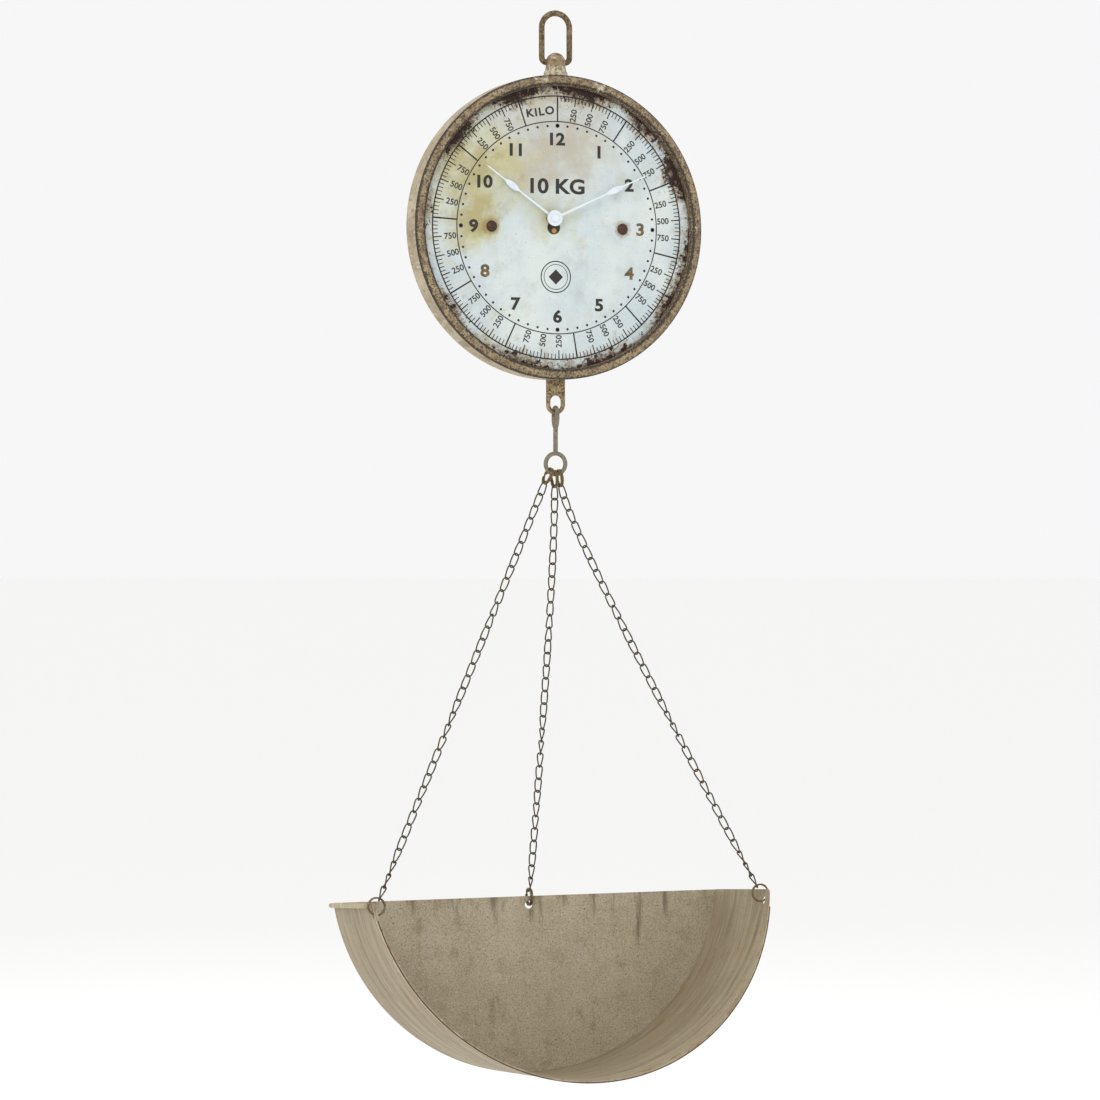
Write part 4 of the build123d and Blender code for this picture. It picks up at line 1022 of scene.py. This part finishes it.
def pan():
    beyond = Vector((0, -1, PAN_SLANT)).normalized()
    front = Vector((0, -PAN_LENGTH, 0))
    trough = rolled_sheet("trough_wall", PAN_R - 0.1 * MM)
    slice_off(trough, (0, 0, PAN_RIM), (0, 0, 1))
    slice_off(trough, (0, -0.5 * MM, 0), (0, 1, 0))
    slice_off(trough, front, beyond)
    active(trough)
    bpy.ops.object.mode_set(mode="EDIT")
    bpy.ops.mesh.select_all(action="DESELECT")
    bpy.ops.object.mode_set(mode="OBJECT")
    for vertex in trough.data.vertices:
        at_rim = abs(vertex.co.z - PAN_RIM) < 1e-5
        at_lip = abs(-vertex.co.y - lip(vertex.co.z)) < 1e-5
        vertex.select = at_rim and at_lip
    bpy.ops.object.mode_set(mode="EDIT")
    bpy.ops.mesh.select_mode(type="VERT")
    bpy.ops.mesh.bevel(offset=10 * MM, offset_type="OFFSET", segments=8, affect="VERTICES")
    bpy.ops.object.mode_set(mode="OBJECT")
    tidy(trough)
    band = 14 * MM                # cuts across the wall keep its long faces short
    for number in range(1, 12):
        active(trough)
        bpy.ops.object.mode_set(mode="EDIT")
        bpy.ops.mesh.select_all(action="SELECT")
        bpy.ops.mesh.bisect(plane_co=(0, -number * band, 0), plane_no=(0, 1, 0))
        bpy.ops.object.mode_set(mode="OBJECT")
    modify(trough, "SOLIDIFY", thickness=0.95 * MM, offset=-1)
    tidy(trough)
    ring_hole(trough, (-HOLE_U, HOLE_Y, HOLE_W), "X")
    ring_hole(trough, (HOLE_U, HOLE_Y, HOLE_W), "X")
    bake_place(trough, PAN_PLACE)
    fit(smooth(trough), "pan_set", wall_sheet, "pan_zinc", "pan_trough")

    clear_selection()
    bpy.ops.mesh.primitive_circle_add(vertices=256, radius=PAN_R - 1.0 * MM, fill_type="NGON",
                                      location=(0, -0.31 * MM, 0), rotation=(pi / 2, 0, 0))
    plate = named("back_sheet")
    bpy.context.view_layer.update()
    bake_place(plate, Matrix.Identity(4))
    slice_off(plate, (0, 0, PAN_RIM), (0, 0, 1))
    modify(plate, "SOLIDIFY", thickness=0.98 * MM, offset=1)
    ring_hole(plate, BACK_HOLE, "Y")
    bake_place(tidy(plate), PAN_PLACE)
    fit(smooth(plate), "pan_set", back_sheet, "pan_zinc", "pan_back")

    bead_u = sqrt(PAN_R ** 2 - PAN_RIM ** 2) + 2.1 * MM
    bead_end = lip(PAN_RIM) - 18 * MM
    beads = []
    for side in (-1, 1):
        path = [(side * bead_u, -y, PAN_RIM - 2.1 * MM) for y in
                (1.0 * MM, 1.6 * MM, bead_end * 0.5, bead_end - 1 * MM, bead_end)]
        bead = tube("bead", path, 2.05 * MM, sides=6)
        modify(bead, "BEVEL", width=0.8 * MM, segments=3, limit_method="ANGLE", angle_limit=radians(50))
        beads.append(bead)
    rolled = joined("rolled_rim_beads", beads)
    bake_place(rolled, PAN_PLACE)
    fit(smooth(rolled, 50), "pan_set", lip_sheet, "pan_zinc", "pan_rim_beads")

    hem = rolled_sheet("front_lip", PAN_R + 0.05 * MM)
    hem_top = PAN_RIM - 14 * MM
    slice_off(hem, (0, 0, hem_top), (0, 0, 1))
    slice_off(hem, front, beyond)
    slice_off(hem, (0, -PAN_LENGTH + 5 * MM, 0), -beyond)
    modify(hem, "SOLIDIFY", thickness=0.85 * MM, offset=1)
    modify(hem, "BEVEL", width=0.3 * MM, segments=2, limit_method="ANGLE", angle_limit=radians(50))
    bake_place(tidy(hem), PAN_PLACE)
    fit(smooth(hem), "pan_set", lip_sheet, "pan_zinc", "pan_front_hem")


# ------------------------------------------------------------------- inner pieces

def inner_finishes():
    finishes = {
        "dial_plate": dial_enamel(),
        "dial_seat_ring": case_paint, "back_cover": case_paint,
        "stem_nuts": plain_steel, "dial_posts": plain_steel, "back_cover_screws": plain_steel,
        "spring_anchor_bar": plain_steel, "upper_spring_plugs": plain_steel,
        "lower_spring_plugs": plain_steel, "crosshead": plain_steel, "draw_bar_pins": plain_steel,
        "draw_bar_guide": plain_steel, "stator": plain_steel, "rotor": plain_steel,
        "spring_left": spring_wire, "spring_right": spring_wire, "battery_contacts": spring_wire,
        "movement_case": black_abs, "movement_cover": black_abs, "movement_washer": black_rubber,
        "centre_nut": nut_brass, "battery": cell_film, "circuit_board": board_resist,
        "drive_coil": coil_copper, "minute_arbor": white_acetal, "intermediate_wheel": white_acetal,
        "hour_wheel": white_acetal, "setting_knob": white_acetal,
    }
    for node, material in finishes.items():
        dress(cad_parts[node], material)


camera()
studio()
case_pieces()
neck()
bail()
dial_print()
dial_fixings()
hands()
draw_bar()
hook()
chain_set()
pan()
inner_finishes()
